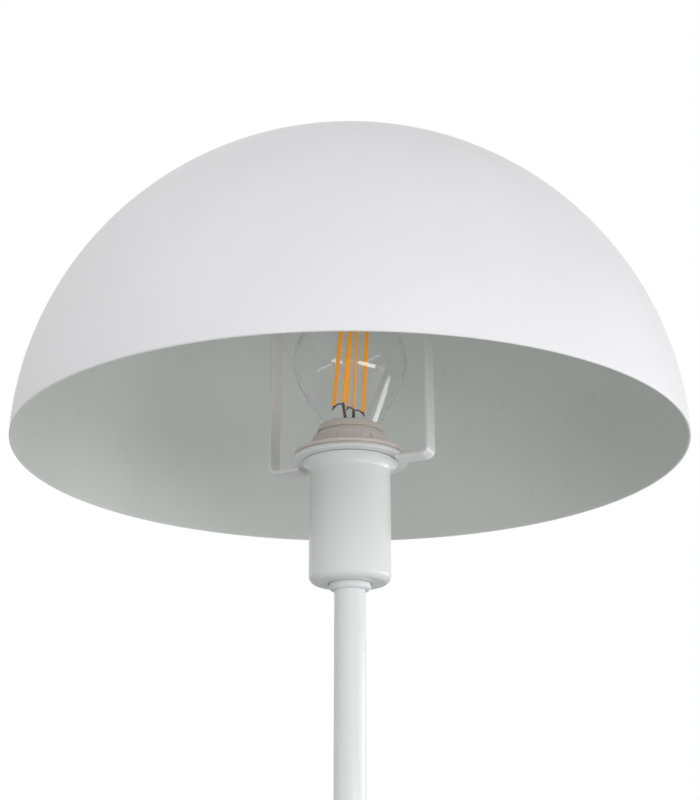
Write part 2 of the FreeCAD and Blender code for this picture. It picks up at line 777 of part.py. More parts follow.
def lampholder():
    """E14 lampholder in two moulded halves with its insert, contacts, clamps and threaded shell."""
    neck_top = holder_bottom + d.holder_neck_height
    floor = holder_bottom + d.holder_floor
    shoulder = holder_bottom + d.holder_shoulder
    split = holder_bottom + d.holder_split
    inside = d.holder_radius - d.holder_wall
    cone_foot = d.holder_neck - d.holder_wall
    cone_top = floor + shoulder - neck_top
    keep(turned("cap_half", [
        (threaded_hole, holder_bottom), (d.holder_neck, holder_bottom), (d.holder_neck, neck_top),
        (d.holder_radius, shoulder), (d.holder_radius, split), (inside, split),
        (inside, cone_top), (cone_foot, floor), (threaded_hole, floor),
    ]), "holder_cap")

    spigot_bottom = split - d.holder_spigot
    spigot_radius = inside - d.fit_gap
    insert_seat = d.insert_radius + d.fit_gap
    shell_seat = d.shell_radius + d.fit_gap
    shell_floor = holder_bottom + d.shell_bottom - d.contact_sheet
    ledge = holder_top - d.nose_depth
    ledge_foot = ledge - d.nose_ledge
    thread_top = holder_top - d.nose_collar
    thread_bottom = thread_top - d.nose_thread_length
    nose_edge = d.nose_cone_top - d.nose_round
    core = turned("nose_half", [
        (insert_seat, spigot_bottom), (spigot_radius, spigot_bottom), (spigot_radius, split),
        (d.holder_radius, split), (d.holder_radius, thread_bottom), (d.nose_radius, thread_bottom),
        (d.nose_radius, thread_top), (d.nose_cone_foot, thread_top),
        Bend(d.nose_cone_top, holder_top - d.nose_round, d.nose_round, left=True),
        (nose_edge, holder_top), (d.nose_bore, holder_top - d.fit_gap), (d.nose_bore, ledge),
        (d.nose_ledge_radius, ledge_foot), (shell_seat, ledge_foot), (shell_seat, shell_floor),
        (insert_seat, shell_floor),
    ])
    turns = d.nose_thread_length / d.nose_pitch - 1
    ridge_bottom = thread_bottom + d.nose_ridge
    ridge = thread_ridge("nose_thread", d.nose_radius - d.ridge_sink, d.nose_ridge, d.nose_pitch,
                         turns, ridge_bottom)
    keep(fuse("nose", core, ridge), "holder_body")

    insert_bottom = holder_bottom + d.insert_height
    insert_top = insert_bottom + d.insert_thick
    disc = rod("insert_disc", d.insert_radius, d.insert_thick, (zero, zero, insert_bottom))
    slot_width = d.contact_width + d.fit_gap * 2
    shell_sheet = d.shell_radius - d.shell_bore
    shell_slot = block("shell_slot", (shell_sheet * 2 + d.fit_gap, slot_width, d.insert_thick),
                       (d.shell_bore - shell_sheet, -slot_width / 2, insert_bottom))
    contact_slot = block("contact_slot", (d.contact_sheet + d.fit_gap * 2, slot_width, d.insert_thick),
                         (-d.contact_reach - d.fit_gap, -slot_width / 2, insert_bottom))
    keep(cut("insert", disc, shell_slot, contact_slot), "holder_insert")

    shell_bottom = holder_bottom + d.shell_bottom
    shell_top = holder_bottom + d.shell_top
    tube = washer("shell_tube", d.shell_bore, d.shell_radius, shell_bottom, shell_top)
    leg_tube = washer("shell_leg_tube", d.shell_bore, d.shell_radius, insert_bottom, shell_bottom)
    leg_bar = block("shell_leg_bar", (d.shell_radius, d.contact_width, shell_bottom - insert_bottom),
                    (zero, -d.contact_width / 2, insert_bottom))
    leg = overlap("shell_leg", leg_tube, leg_bar)
    ridge_start = bulb_bottom + d.cap_thread_start + d.cap_pitch / 2
    ridge = thread_ridge("shell_thread", d.shell_bore + d.ridge_sink, d.shell_ridge, d.cap_pitch,
                         d.shell_turns, ridge_start)
    keep(fuse("shell", tube, leg, ridge), "thread_shell")

    sheet_top = insert_top + d.contact_sheet
    tip_top = holder_bottom + d.contact_height
    tip_under = tip_top - d.contact_sheet
    leg_inside = d.contact_sheet - d.contact_reach
    rise_foot = -d.contact_width
    rise_top = -d.button_radius
    keep(bent_strip("contact", [
        (-d.contact_reach, insert_bottom), (leg_inside, insert_bottom), (leg_inside, insert_top),
        (rise_foot, insert_top), (rise_top, tip_under), (d.button_radius, tip_under),
        (d.button_radius, tip_top), (rise_top - d.contact_sheet, tip_top),
        (rise_foot - d.contact_sheet, sheet_top), (-d.contact_reach, sheet_top),
    ], d.contact_width), "centre_contact")

    clamp_bottom = insert_bottom - d.clamp_height
    screw_height = clamp_bottom + d.clamp_height / 2
    clamps = []
    screws = []
    for name, across in (("live", d.clamp_offset), ("neutral", -d.clamp_offset)):
        body = block(f"{name}_clamp_bar", (d.clamp_width, d.clamp_width, d.clamp_height),
                     (across - d.clamp_width / 2, -d.clamp_width / 2, clamp_bottom))
        wire_hole = rod(f"{name}_clamp_bore", d.lead_radius + d.fit_gap, d.lead_strip + d.fit_gap,
                        (across, zero, clamp_bottom))
        screw_end = -d.lead_radius - d.fit_gap
        screw_start = screw_end - d.clamp_screw_length
        screw_hole = rod(f"{name}_clamp_tapping", d.clamp_screw_radius + d.thread_gap, -screw_start,
                         (across, screw_start, screw_height), "Y")
        clamps.append(cut(f"{name}_clamp", body, wire_hole, screw_hole))
        shank = rod(f"{name}_clamp_shank", d.clamp_screw_radius, d.clamp_screw_length,
                    (across, screw_start, screw_height), "Y")
        head_length = screw_end - screw_start - (d.clamp_width / 2 - d.lead_radius)
        head = rod(f"{name}_clamp_head", d.clamp_screw_head, head_length / 2,
                   (across, screw_start, screw_height), "Y")
        screws.append(fuse(f"{name}_clamp_screw", shank, head))
    keep(group("clamps", clamps), "wire_clamps")
    keep(group("clamp_fixings", screws), "clamp_screws")


def rings():
    """Ring plate of the bracket, and the screw ring that clamps it on the lip of the cup."""
    plate = washer("ring_plate", d.bracket_ring_bore, d.bracket_ring_radius, lip_top, ring_bottom)
    keep(plate, "bracket_ring")

    bore = d.nose_radius + d.ring_bore_gap
    flange_top = ring_bottom + d.ring_flange_thick
    ring_top = ring_bottom + d.ring_height
    flange_edge = d.ring_flange_radius - d.ring_round
    body = turned("screw_ring", [
        (bore, ring_bottom), Bend(flange_edge, ring_bottom, d.ring_round, left=True),
        (d.ring_flange_radius, ring_bottom + d.ring_round),
        Bend(d.ring_flange_radius, flange_top - d.ring_round, d.ring_round, left=True),
        (flange_edge, flange_top), (d.ring_skirt_foot, flange_top), (d.ring_skirt_top, ring_top),
        (bore, ring_top),
    ])
    thread_bottom = holder_top - d.nose_collar - d.nose_thread_length + d.nose_ridge + d.nose_pitch / 2
    lead_in = math.ceil((ring_bottom + d.ring_ridge * 2 - thread_bottom).value / d.nose_pitch.value)
    ridge_bottom = thread_bottom + d.nose_pitch * lead_in
    turns = (ring_top - ridge_bottom - d.ring_ridge * 2) / d.nose_pitch
    ridge = thread_ridge("ring_thread", bore + d.ridge_sink, d.ring_ridge, d.nose_pitch,
                         turns, ridge_bottom)
    keep(fuse("ring", body, ridge), "shade_ring")


def bracket():
    """Strip bent to a U, with inward feet, and its stud, washer and nut at the crown."""
    outer = d.arm_reach
    inner = d.arm_reach - d.strip_thick
    bend = d.strip_bend
    inner_bend = d.strip_bend - d.strip_thick
    bend_edge = d.arm_reach - d.strip_bend
    foot_top = foot_bottom + d.strip_thick
    bridge_under = bridge_top - d.strip_thick
    low = foot_bottom + d.strip_bend
    high = bridge_top - d.strip_bend
    strip = bent_strip("strip", [
        (d.foot_end, foot_bottom), Bend(bend_edge, foot_bottom, bend, left=True),
        (outer, low), Bend(outer, high, bend, left=True),
        (bend_edge, bridge_top), Bend(-bend_edge, bridge_top, bend, left=True),
        (-outer, high), Bend(-outer, low, bend, left=True),
        (-bend_edge, foot_bottom), (-d.foot_end, foot_bottom), (-d.foot_end, foot_top),
        Bend(-bend_edge, foot_top, inner_bend, left=False), (-inner, low),
        Bend(-inner, high, inner_bend, left=False), (-bend_edge, bridge_under),
        Bend(bend_edge, bridge_under, inner_bend, left=False), (inner, high),
        Bend(inner, low, inner_bend, left=False), (bend_edge, foot_top),
        (d.foot_end, foot_top),
    ], d.strip_width)
    stud_hole = rod("stud_hole", d.stud_radius + d.fit_gap, d.strip_thick, (zero, zero, bridge_under))
    keep(cut("bracket_strip", strip, stud_hole), "shade_bracket")

    shoulder = d.stud_shoulder_radius
    shoulder_top = rim + root(shade_inside * shade_inside - shoulder * shoulder)
    stud_end = bridge_under - d.stud_tail
    keep(turned("stud", [
        (zero, stud_end), (d.stud_radius, stud_end), (d.stud_radius, bridge_top), (shoulder, bridge_top),
        Bend(shoulder, shoulder_top, shade_inside, left=True), (zero, crown_inside),
    ]), "crown_stud")
    washer_under = bridge_under - d.crown_washer_thick
    stud_gap = d.stud_radius + d.fit_gap
    keep(washer("stud_washer", stud_gap, d.crown_washer_radius, washer_under, bridge_under), "crown_washer")
    nut_under = washer_under - d.crown_nut_thick
    bar = hexagon("crown_nut_bar", d.crown_nut_flats, d.crown_nut_thick, (zero, zero, nut_under))
    hole = rod("crown_nut_hole", d.stud_radius + d.thread_gap, d.crown_nut_thick, (zero, zero, nut_under))
    keep(cut("stud_nut", bar, hole), "crown_nut")


def shade():
    """Hemispherical shade of thin sheet, open below."""
    crown = rim + d.shade_radius
    keep(turned("dome", [
        (shade_inside, rim), Bend(d.shade_radius, rim, d.shade_radius, left=True),
        (zero, crown), Bend(zero, crown_inside, shade_inside, left=False),
    ]), "shade_dome")


def bulb():
    """Round LED filament bulb with an E14 screw cap."""
    globe = bulb_bottom + d.bulb_length - d.globe_radius
    cap_top = bulb_bottom + d.cap_length
    seat_bottom = cap_top - d.glass_seat_drop
    seat_inside = d.glass_seat - d.glass_wall
    slant = root(d.glass_cone_widening * d.glass_cone_widening + d.glass_cone_rise * d.glass_cone_rise)
    outward = d.glass_cone_rise / slant
    downward = d.glass_cone_widening / slant
    glass_profiles = []
    for wall, seat in ((zero, d.glass_seat), (d.glass_wall, seat_inside)):
        globe_radius = d.globe_radius - wall
        meeting_radius = globe_radius * outward
        meeting = globe - globe_radius * downward
        cone_foot = meeting - (meeting_radius - seat) * outward / downward
        glass_profiles.append((globe_radius, meeting_radius, meeting, cone_foot))
    outer, inner = glass_profiles
    keep(turned("globe", [
        (seat_inside, seat_bottom), (d.glass_seat, seat_bottom), (d.glass_seat, outer[3]),
        Bend(outer[1], outer[2], outer[0], left=True), Bend(outer[0], globe, outer[0], left=True),
        (zero, globe + outer[0]), Bend(zero, globe + inner[0], inner[0], left=False),
        Bend(inner[0], globe, inner[0], left=False), (inner[1], inner[2]), (seat_inside, inner[3]),
    ]), "bulb_glass")

    cap_bottom = bulb_bottom + d.cap_bottom
    flare_top = cap_top - d.cap_skirt_height
    flare_bottom = flare_top - d.cap_flare
    skirt_inside = d.glass_seat + d.fit_gap
    root_inside = d.cap_root - d.cap_wall
    core = turned("cap_core", [
        (root_inside, cap_bottom), (d.cap_root, cap_bottom), (d.cap_root, flare_bottom),
        (d.cap_skirt, flare_top), (d.cap_skirt, cap_top), (skirt_inside, cap_top),
        (skirt_inside, flare_top), (root_inside, flare_bottom),
    ])
    ridge = thread_ridge("cap_thread", d.cap_root - d.ridge_sink, d.cap_ridge, d.cap_pitch, d.cap_turns,
                         bulb_bottom + d.cap_thread_start)
    keep(fuse("cap", core, ridge), "bulb_cap")

    button_top = bulb_bottom + d.button_height
    plug_radius = root_inside - d.thread_gap
    plug_top = cap_bottom + d.button_height
    keep(turned("insulator", [
        (zero, button_top), (d.button_radius, button_top), (d.cap_root, cap_bottom),
        (plug_radius, cap_bottom), (plug_radius, plug_top), (zero, plug_top),
    ]), "cap_insulator")
    button_round = d.button_height / 2
    keep(turned("button", [
        (zero, bulb_bottom), Bend(d.button_radius - button_round, bulb_bottom, button_round, left=True),
        (d.button_radius, bulb_bottom + button_round), (d.button_radius, button_top), (zero, button_top),
    ]), "cap_contact")

    driver_bottom = plug_top
    keep(block("driver", (d.driver_width, d.driver_thick, d.driver_height),
               (-d.driver_width / 2, -d.driver_thick / 2, driver_bottom)), "bulb_driver")

    flare_radius = seat_inside - d.fit_gap
    stem_top_height = bulb_bottom + d.bulb_stem_height
    stem_foot = seat_bottom + d.glass_wall
    mount = turned("mount", [
        (zero, seat_bottom), (flare_radius, seat_bottom), (flare_radius, stem_foot),
        (d.bulb_stem_radius, cap_top + d.glass_wall),
        Bend(d.bulb_stem_radius, stem_top_height - d.bulb_stem_radius, d.bulb_stem_radius, left=True),
        (zero, stem_top_height),
    ])
    filaments, wires, post_wells = filament_cage()
    wells = [solid(f"post_well_{number}", well) for number, well in enumerate(post_wells, start=1)]
    keep(cut("mount_with_wells", mount, *wells), "bulb_stem")
    keep(solid("filament_rods", filaments), "bulb_filaments")
    keep(solid("filament_wires", wires), "bulb_wires")


def filament_cage():
    """Two rows of leaning filament rods, the wires that hold and join them, and the wells of the posts.

    A post stands under the second rod of each row, and an arm goes from there to the others.
    """
    apart = level_direction(d.filament_turn.value)
    bottom = Vector(-d.filament_foot_shift.value, 0, (bulb_bottom + d.filament_start).value)
    top = Vector(d.filament_top_shift.value, 0, bottom.z + d.filament_length.value)
    stem_tip = Vector(0, 0, (bulb_bottom + d.bulb_stem_height - d.bulb_stem_radius).value)
    wire = d.wire_radius.value
    post = d.filament_post_radius.value
    well = post + d.thread_gap.value
    drop = Vector(0, 0, wire + d.fit_gap.value)
    rods = []
    wires = []
    wells = []
    heads = []
    arm_turn = d.filament_arm_turn
    half = d.filament_pair_gap.value / 2
    row_of_three = (half, -half, -half - d.filament_third_gap.value)
    row_of_two = (half, -half)
    rows = ((1, arm_turn, row_of_three), (-1, arm_turn + d.filament_arm_angle, row_of_two))
    for side, turn, places in rows:
        along = level_direction(turn.value)
        foot_middle = bottom + apart * (side * d.filament_foot_spread.value)
        top_middle = top + apart * (side * d.filament_top_spread.value)
        for place in places:
            foot = foot_middle + along * place
            way = top_middle + along * place - foot
            rods.append(Part.makeCylinder(d.filament_radius.value, way.Length, foot, way))
        for middle in (foot_middle - drop, top_middle + drop):
            wires.append(straight_wire(middle + along * places[-1], middle + along * places[0], wire))
        post_foot = stem_tip + apart * (side * d.bulb_stem_radius.value / 2)
        post_head = foot_middle - along * half - drop
        wires.append(straight_wire(post_foot, post_head, post))
        wells.append(straight_wire(post_foot, post_head, well))
        heads.append(top_middle - along * half + drop)
    wires.append(straight_wire(heads[0], heads[1], wire))
    joined = wires[0].multiFuse(wires[1:])
    return Part.makeCompound(rods), joined, wells


def level_direction(turn):
    """Level direction at an angle in degrees from the X axis."""
    angle = math.radians(turn)
    return Vector(math.cos(angle), math.sin(angle), 0)


def straight_wire(start, end, radius):
    """Straight round wire between two points."""
    way = end - start
    return Part.makeCylinder(radius, way.Length, start, way)


base()
cord_inlet()
terminals()
stem()
leads()
cup()
lampholder()
rings()
bracket()
shade()
bulb()
doc.recompute()

broken = [thing.Label for thing in doc.Objects if "Invalid" in thing.State or "Error" in thing.State]
if broken:
    raise RuntimeError("did not recompute: " + ", ".join(broken))
misshapen = [thing.Label for thing in subparts if thing.Shape.isNull() or not thing.Shape.isValid()]
if misshapen:
    raise RuntimeError("no valid shape: " + ", ".join(misshapen))

os.makedirs("parts", exist_ok=True)
for thing in subparts:
    thing.Shape.exportStep(os.path.join("parts", thing.Label + ".step"))
total_height = (rim + d.shade_radius).value
print(f"{len(subparts)} sub-parts, total height {total_height:.1f} mm, rim at {rim.value:.1f} mm")
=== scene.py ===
import bpy
import numpy as np
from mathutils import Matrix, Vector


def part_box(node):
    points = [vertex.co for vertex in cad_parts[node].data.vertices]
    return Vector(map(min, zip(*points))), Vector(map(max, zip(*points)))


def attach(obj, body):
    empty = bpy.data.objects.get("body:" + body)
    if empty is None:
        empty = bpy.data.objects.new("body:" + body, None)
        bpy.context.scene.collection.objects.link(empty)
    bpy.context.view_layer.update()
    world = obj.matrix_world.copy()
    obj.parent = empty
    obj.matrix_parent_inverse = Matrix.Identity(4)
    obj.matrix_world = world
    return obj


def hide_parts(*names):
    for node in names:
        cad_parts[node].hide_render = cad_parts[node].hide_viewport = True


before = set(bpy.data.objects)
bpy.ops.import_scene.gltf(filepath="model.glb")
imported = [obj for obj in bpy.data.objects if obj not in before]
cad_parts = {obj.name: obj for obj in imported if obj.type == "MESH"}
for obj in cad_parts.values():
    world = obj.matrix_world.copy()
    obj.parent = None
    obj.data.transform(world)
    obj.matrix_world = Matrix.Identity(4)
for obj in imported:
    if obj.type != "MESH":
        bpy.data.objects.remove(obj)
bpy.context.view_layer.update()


# Base: foam pad, bottom plate, screws, weight and cover
# A cast iron disc gives the lamp its weight under a cover pressed from steel sheet and powder coated.
# A zinc plated plate closes it from below with three screws, and a foam pad is glued over them.

def tone(red, green, blue):
    """Linear colour of 8-bit screen values.

    With s the share of the full value, it is s / 12.92 where s is 0.04045 or less, and otherwise
    ((s + 0.055) / 1.055) to the power 2.4.
    """
    screen = np.array((red, green, blue)) / 255
    linear = np.where(screen <= 0.04045, screen / 12.92, ((screen + 0.055) / 1.055) ** 2.4)
    return (*linear.tolist(), 1.0)


def shader_node(tree, kind, **inputs):
    """New shader node with its inputs filled: a socket is linked and any other value is set."""
    made = tree.nodes.new(kind)
    for name, value in inputs.items():
        socket = made.inputs[name.replace("_", " ")]
        if isinstance(value, bpy.types.NodeSocket):
            tree.links.new(value, socket)
        else:
            socket.default_value = value
    return made


def shader_group(name, inputs, outputs):
    """New shader node group with named sockets, and its two ends."""
    group = bpy.data.node_groups.new(name, "ShaderNodeTree")
    for socket, kind in inputs.items():
        group.interface.new_socket(socket, in_out="INPUT", socket_type=kind)
    for socket, kind in outputs.items():
        group.interface.new_socket(socket, in_out="OUTPUT", socket_type=kind)
    start = group.nodes.new("NodeGroupInput")
    end = group.nodes.new("NodeGroupOutput")
    return group, start.outputs, end.inputs


def surface_grain_group():
    """Broad patches that shift a colour, and a fine grain that shifts roughness and height.

    Both are noises of the place on the piece, divided by the size of a patch or of a grain in metres.
    """
    number = "NodeSocketFloat"
    colour = "NodeSocketColor"
    patch_detail = 2.0
    patch_least = 0.3
    patch_most = 0.7
    grain_detail = 3.0
    grain_least = 0.25
    grain_most = 0.75
    group, given, result = shader_group(
        "surface_grain",
        {"Colour": colour, "Patch Colour": colour, "Patch Size": number, "Grain Size": number,
         "Smoothest": number, "Roughest": number},
        {"Colour": colour, "Roughness": number, "Height": number},
    )
    place = shader_node(group, "ShaderNodeTexCoord").outputs["Object"]
    noises = []
    for size, detail in (("Patch Size", patch_detail), ("Grain Size", grain_detail)):
        scale = shader_node(group, "ShaderNodeMath")
        scale.operation = "DIVIDE"
        scale.inputs[0].default_value = 1.0
        group.links.new(given[size], scale.inputs[1])
        noise = shader_node(group, "ShaderNodeTexNoise", Vector=place, Scale=scale.outputs[0], Detail=detail)
        noises.append(noise)
    patch, grain = (noise.outputs["Fac"] for noise in noises)
    spread = shader_node(group, "ShaderNodeMapRange", Value=patch, From_Min=patch_least, From_Max=patch_most)
    shifted = shader_node(group, "ShaderNodeMix")
    shifted.data_type = "RGBA"
    group.links.new(spread.outputs["Result"], shifted.inputs["Factor"])
    group.links.new(given["Colour"], shifted.inputs["A"])
    group.links.new(given["Patch Colour"], shifted.inputs["B"])
    sheen = shader_node(group, "ShaderNodeMapRange", Value=grain, From_Min=grain_least, From_Max=grain_most,
                        To_Min=given["Smoothest"], To_Max=given["Roughest"])
    group.links.new(shifted.outputs["Result"], result["Colour"])
    group.links.new(sheen.outputs["Result"], result["Roughness"])
    group.links.new(grain, result["Height"])
    return group


surface_grain = surface_grain_group()


def grained(name, colour, patch_colour, patch_size, grain_size, smoothest, roughest, relief, **plain):
    """Finish with colour, roughness and relief from the surface grain; plain values go on the shader."""
    finish = bpy.data.materials.new(name)
    finish.use_nodes = True
    tree = finish.node_tree
    shader = tree.nodes["Principled BSDF"]
    grain = tree.nodes.new("ShaderNodeGroup")
    grain.name = "grain"
    grain.node_tree = surface_grain
    settings = {"Colour": colour, "Patch Colour": patch_colour, "Patch Size": patch_size,
                "Grain Size": grain_size, "Smoothest": smoothest, "Roughest": roughest}
    for socket, value in settings.items():
        grain.inputs[socket].default_value = value
    bump = shader_node(tree, "ShaderNodeBump", Height=grain.outputs["Height"], Distance=relief)
    tree.links.new(grain.outputs["Colour"], shader.inputs["Base Color"])
    tree.links.new(grain.outputs["Roughness"], shader.inputs["Roughness"])
    tree.links.new(bump.outputs["Normal"], shader.inputs["Normal"])
    for socket, value in plain.items():
        shader.inputs[socket.replace("_", " ")].default_value = value
    return finish


def dress(finish, *nodes):
    """Give CAD nodes a finish in place of the plain one they come with."""
    for node in nodes:
        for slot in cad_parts[node].material_slots:
            slot.material = finish


foam_rubber = grained("foam_rubber", tone(24, 24, 25), tone(34, 34, 35), patch_size=0.012, grain_size=0.0005,
                      smoothest=0.85, roughest=1.0, relief=0.0002)
zinc_plate = grained("zinc_plate", tone(178, 182, 186), tone(158, 163, 170), patch_size=0.004,
                     grain_size=0.0003, smoothest=0.28, roughest=0.48, relief=0.00001, Metallic=1.0)
cast_iron = grained("cast_iron", tone(62, 60, 58), tone(80, 72, 66), patch_size=0.01, grain_size=0.0008,
                    smoothest=0.6, roughest=0.85, relief=0.00025, Metallic=0.6)
powder_coat = grained("powder_coat", tone(236, 235, 237), tone(232, 231, 233), patch_size=0.05,
                      grain_size=0.0006, smoothest=0.38, roughest=0.5, relief=0.000006)
dress(foam_rubber, "base_pad")
dress(zinc_plate, "bottom_plate", "plate_screws")
dress(cast_iron, "base_weight")
dress(powder_coat, "base_cover")


# Cord inlet
# A white nylon gland in the back of the base, held from inside by a hexagonal nut.
# Both are injection moulded, and the flange covers the edge of the hole in the cover.

nylon = grained("nylon", tone(232, 231, 226), tone(224, 223, 217), patch_size=0.006, grain_size=0.0004,
                smoothest=0.35, roughest=0.5, relief=0.00001, Subsurface_Weight=0.1)
dress(nylon, "cord_gland", "gland_nut")


# Terminal block and leads
# A three pole nylon block with brass sleeves and plated screws, in a pocket in the weight's underside.
# Brown and blue leads go up the stem, and a green and yellow one to the earth tag.

brass = grained("brass", tone(205, 170, 98), tone(188, 150, 84), patch_size=0.003, grain_size=0.0003,
                smoothest=0.22, roughest=0.4, relief=0.000008, Metallic=1.0)
sheath_look = dict(patch_size=0.02, grain_size=0.0004, smoothest=0.35, roughest=0.5, relief=0.000008)
brown_sheath = grained("brown_sheath", tone(98, 58, 36), tone(88, 51, 32), **sheath_look)
blue_sheath = grained("blue_sheath", tone(42, 88, 158), tone(36, 78, 144), **sheath_look)
earth_sheath = grained("earth_sheath", tone(46, 128, 62), tone(40, 116, 54), **sheath_look)


def stripe(finish, colour, edge, blur):
    """Lay a second colour on the side of a lead where x is past an edge."""
    tree = finish.node_tree
    place = shader_node(tree, "ShaderNodeTexCoord").outputs["Object"]
    across = shader_node(tree, "ShaderNodeSeparateXYZ", Vector=place).outputs["X"]
    side = shader_node(tree, "ShaderNodeMapRange", Value=across, From_Min=edge - blur, From_Max=edge + blur)
    striped = shader_node(tree, "ShaderNodeMix")
    striped.data_type = "RGBA"
    tree.links.new(side.outputs["Result"], striped.inputs["Factor"])
    tree.links.new(tree.nodes["grain"].outputs["Colour"], striped.inputs["A"])
    striped.inputs["B"].default_value = colour
    tree.links.new(striped.outputs["Result"], tree.nodes["Principled BSDF"].inputs["Base Color"])


stripe(earth_sheath, tone(226, 200, 44), edge=0.0003, blur=0.00005)
dress(nylon, "terminal_block")
dress(brass, "terminal_sleeves")
dress(zinc_plate, "terminal_screws", "block_screws")
dress(brown_sheath, "live_lead")
dress(blue_sheath, "neutral_lead")
dress(earth_sheath, "earth_lead")


# Stem
# A steel tube, coated glossy white, that stands on the base with threaded tubes screwed into both ends.
# Nuts, a washer and the earth tag hold it in the base, and a small collar carries the cup.

gloss_coat = grained("gloss_coat", tone(235, 235, 236), tone(231, 231, 232), patch_size=0.05,
                     grain_size=0.0006, smoothest=0.17, roughest=0.25, relief=0.000004)
dress(gloss_coat, "stem_tube", "stem_collar")
dress(zinc_plate, "lower_nipple", "lock_washer", "stem_nut", "earth_tag", "upper_nipple", "cup_nut")


# Cup
# A cup drawn from steel sheet and coated glossy white, open above, with a lip flared out at the top.
# The nut in its floor holds it on the threaded tube, and the bracket ring sits on the lip.
# A fine groove in its underside runs round the edge of the collar.

def arc(across, up, radius, start, end, steps):
    """Points on a circle about (across, up), from one angle to another in degrees."""
    angles = np.radians(np.linspace(start, end, steps + 1))
    return np.stack((across + radius * np.cos(angles), up + radius * np.sin(angles)), axis=1)


def close_spaced(points, step):
    """The same line with points added, so that no straight run is longer than a step.

    Places at even lengths along the line are joined to its own points and read off by interpolation.
    """
    runs = np.linalg.norm(np.diff(points, axis=0), axis=1)
    lengths = np.concatenate(((0.0,), np.cumsum(runs)))
    even = np.arange(step, lengths[-1], step)
    closest = step / 4
    clear = np.abs(even[:, None] - lengths).min(axis=1) > closest
    wanted = np.union1d(lengths, even[clear])
    return np.stack([np.interp(wanted, lengths, column) for column in points.T], axis=1)


same_point = 1e-7


def closed_line(*parts, step):
    """Points and arcs joined end to end and back to the first, closely spaced."""
    points = np.concatenate([np.atleast_2d(part) for part in parts])
    points = np.concatenate((points, points[:1]))
    kept = np.concatenate(((True,), np.linalg.norm(np.diff(points, axis=0), axis=1) > same_point))
    return close_spaced(points[kept], step)[:-1]


def grid_faces(rows, columns, loop):
    """Quads between neighbour points of a grid whose columns go round, fans at its poles, and their rows.

    Row i and column j join to row i + 1 and column j + 1. In a loop the last row joins back to the first.
    Otherwise the first and the last row are poles: single points, each joined to its neighbour row by a fan.
    """
    here = np.arange(columns)
    there = (here + 1) % columns
    rings = rows if loop else rows - 2
    bands = rings if loop else rings - 1
    if loop:
        starts = np.arange(bands)[:, None] * columns
        nexts = np.roll(starts, -1, axis=0)
    else:
        starts = 1 + np.arange(bands)[:, None] * columns
        nexts = starts + columns
    quads = np.stack((starts + here, starts + there, nexts + there, nexts + here), axis=-1).reshape(-1, 4)
    quad_rows = np.repeat(np.arange(bands), columns)
    if loop:
        return quads, np.empty((0, 3), dtype=int), quad_rows
    last_ring = 1 + bands * columns
    first_fan = np.stack((np.zeros_like(here), 1 + there, 1 + here), axis=-1)
    last_pole = np.full_like(here, last_ring + columns)
    last_fan = np.stack((last_ring + here, last_ring + there, last_pole), axis=-1)
    fan_rows = np.repeat((0, bands), columns)
    return quads, np.concatenate((first_fan, last_fan)), np.concatenate((quad_rows, fan_rows))


crisp_angle = np.radians(40)


def piece_from_grids(name, grids, loop, finishes, finish_of_row=None):
    """Smooth piece made of one or more closed grids of points, with edges over the crisp angle kept sharp.

    Where finishes are given by row, which suits a single grid, each face takes the one of its own row.
    """
    points = []
    quads = []
    fans = []
    for grid in grids:
        rows, columns = grid.shape[:2]
        flat = grid.reshape(-1, 3)
        first = sum(len(part) for part in points)
        # A pole is a row of equal points, and only one of them is kept.
        points.append(flat if loop else flat[columns - 1:1 - columns])
        grid_quads, grid_fans, row_of_face = grid_faces(rows, columns, loop)
        quads.append(grid_quads + first)
        fans.append(grid_fans + first)
    points, quads, fans = (np.concatenate(parts) for parts in (points, quads, fans))
    corners = np.concatenate((quads.ravel(), fans.ravel()))
    fan_starts = quads.size + 3 * np.arange(len(fans))
    starts = np.concatenate((4 * np.arange(len(quads)), fan_starts))
    mesh = bpy.data.meshes.new(name)
    mesh.vertices.add(len(points))
    mesh.vertices.foreach_set("co", points.ravel())
    mesh.loops.add(len(corners))
    mesh.loops.foreach_set("vertex_index", corners)
    mesh.polygons.add(len(starts))
    mesh.polygons.foreach_set("loop_start", starts)
    mesh.polygons.foreach_set("use_smooth", np.ones(len(starts), dtype=bool))
    for finish in finishes:
        mesh.materials.append(finish)
    if finish_of_row is not None:
        mesh.polygons.foreach_set("material_index", finish_of_row[row_of_face].astype(np.int32))
    mesh.update(calc_edges=True)
    mesh.set_sharp_from_angle(angle=crisp_angle)
    piece = bpy.data.objects.new(name, mesh)
    bpy.context.scene.collection.objects.link(piece)
    return piece


def turned_grid(radii, heights, turns):
    """Points (radius cos turn, radius sin turn, height) of a profile carried round the Z axis.

    There is a row for each height. A radius may be one for the row or change with the turn.
    """
    radii = np.broadcast_to(np.reshape(radii, (len(heights), -1)), (len(heights), len(turns)))
    levels = np.broadcast_to(np.reshape(heights, (-1, 1)), radii.shape)
    return np.stack((radii * np.cos(turns), radii * np.sin(turns), levels), axis=-1)


def even_turns(count):
    """That many angles spread evenly round a circle."""
    return np.arange(count) * (2 * np.pi / count)


def fit(piece, body, slot, *nodes):
    """Let a piece move with a body and stand for CAD nodes; the slot is not used."""
    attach(piece, body)
    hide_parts(*nodes)


def heights_of(node):
    """Lowest and highest Z of a CAD node."""
    low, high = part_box(node)
    return low[2], high[2]


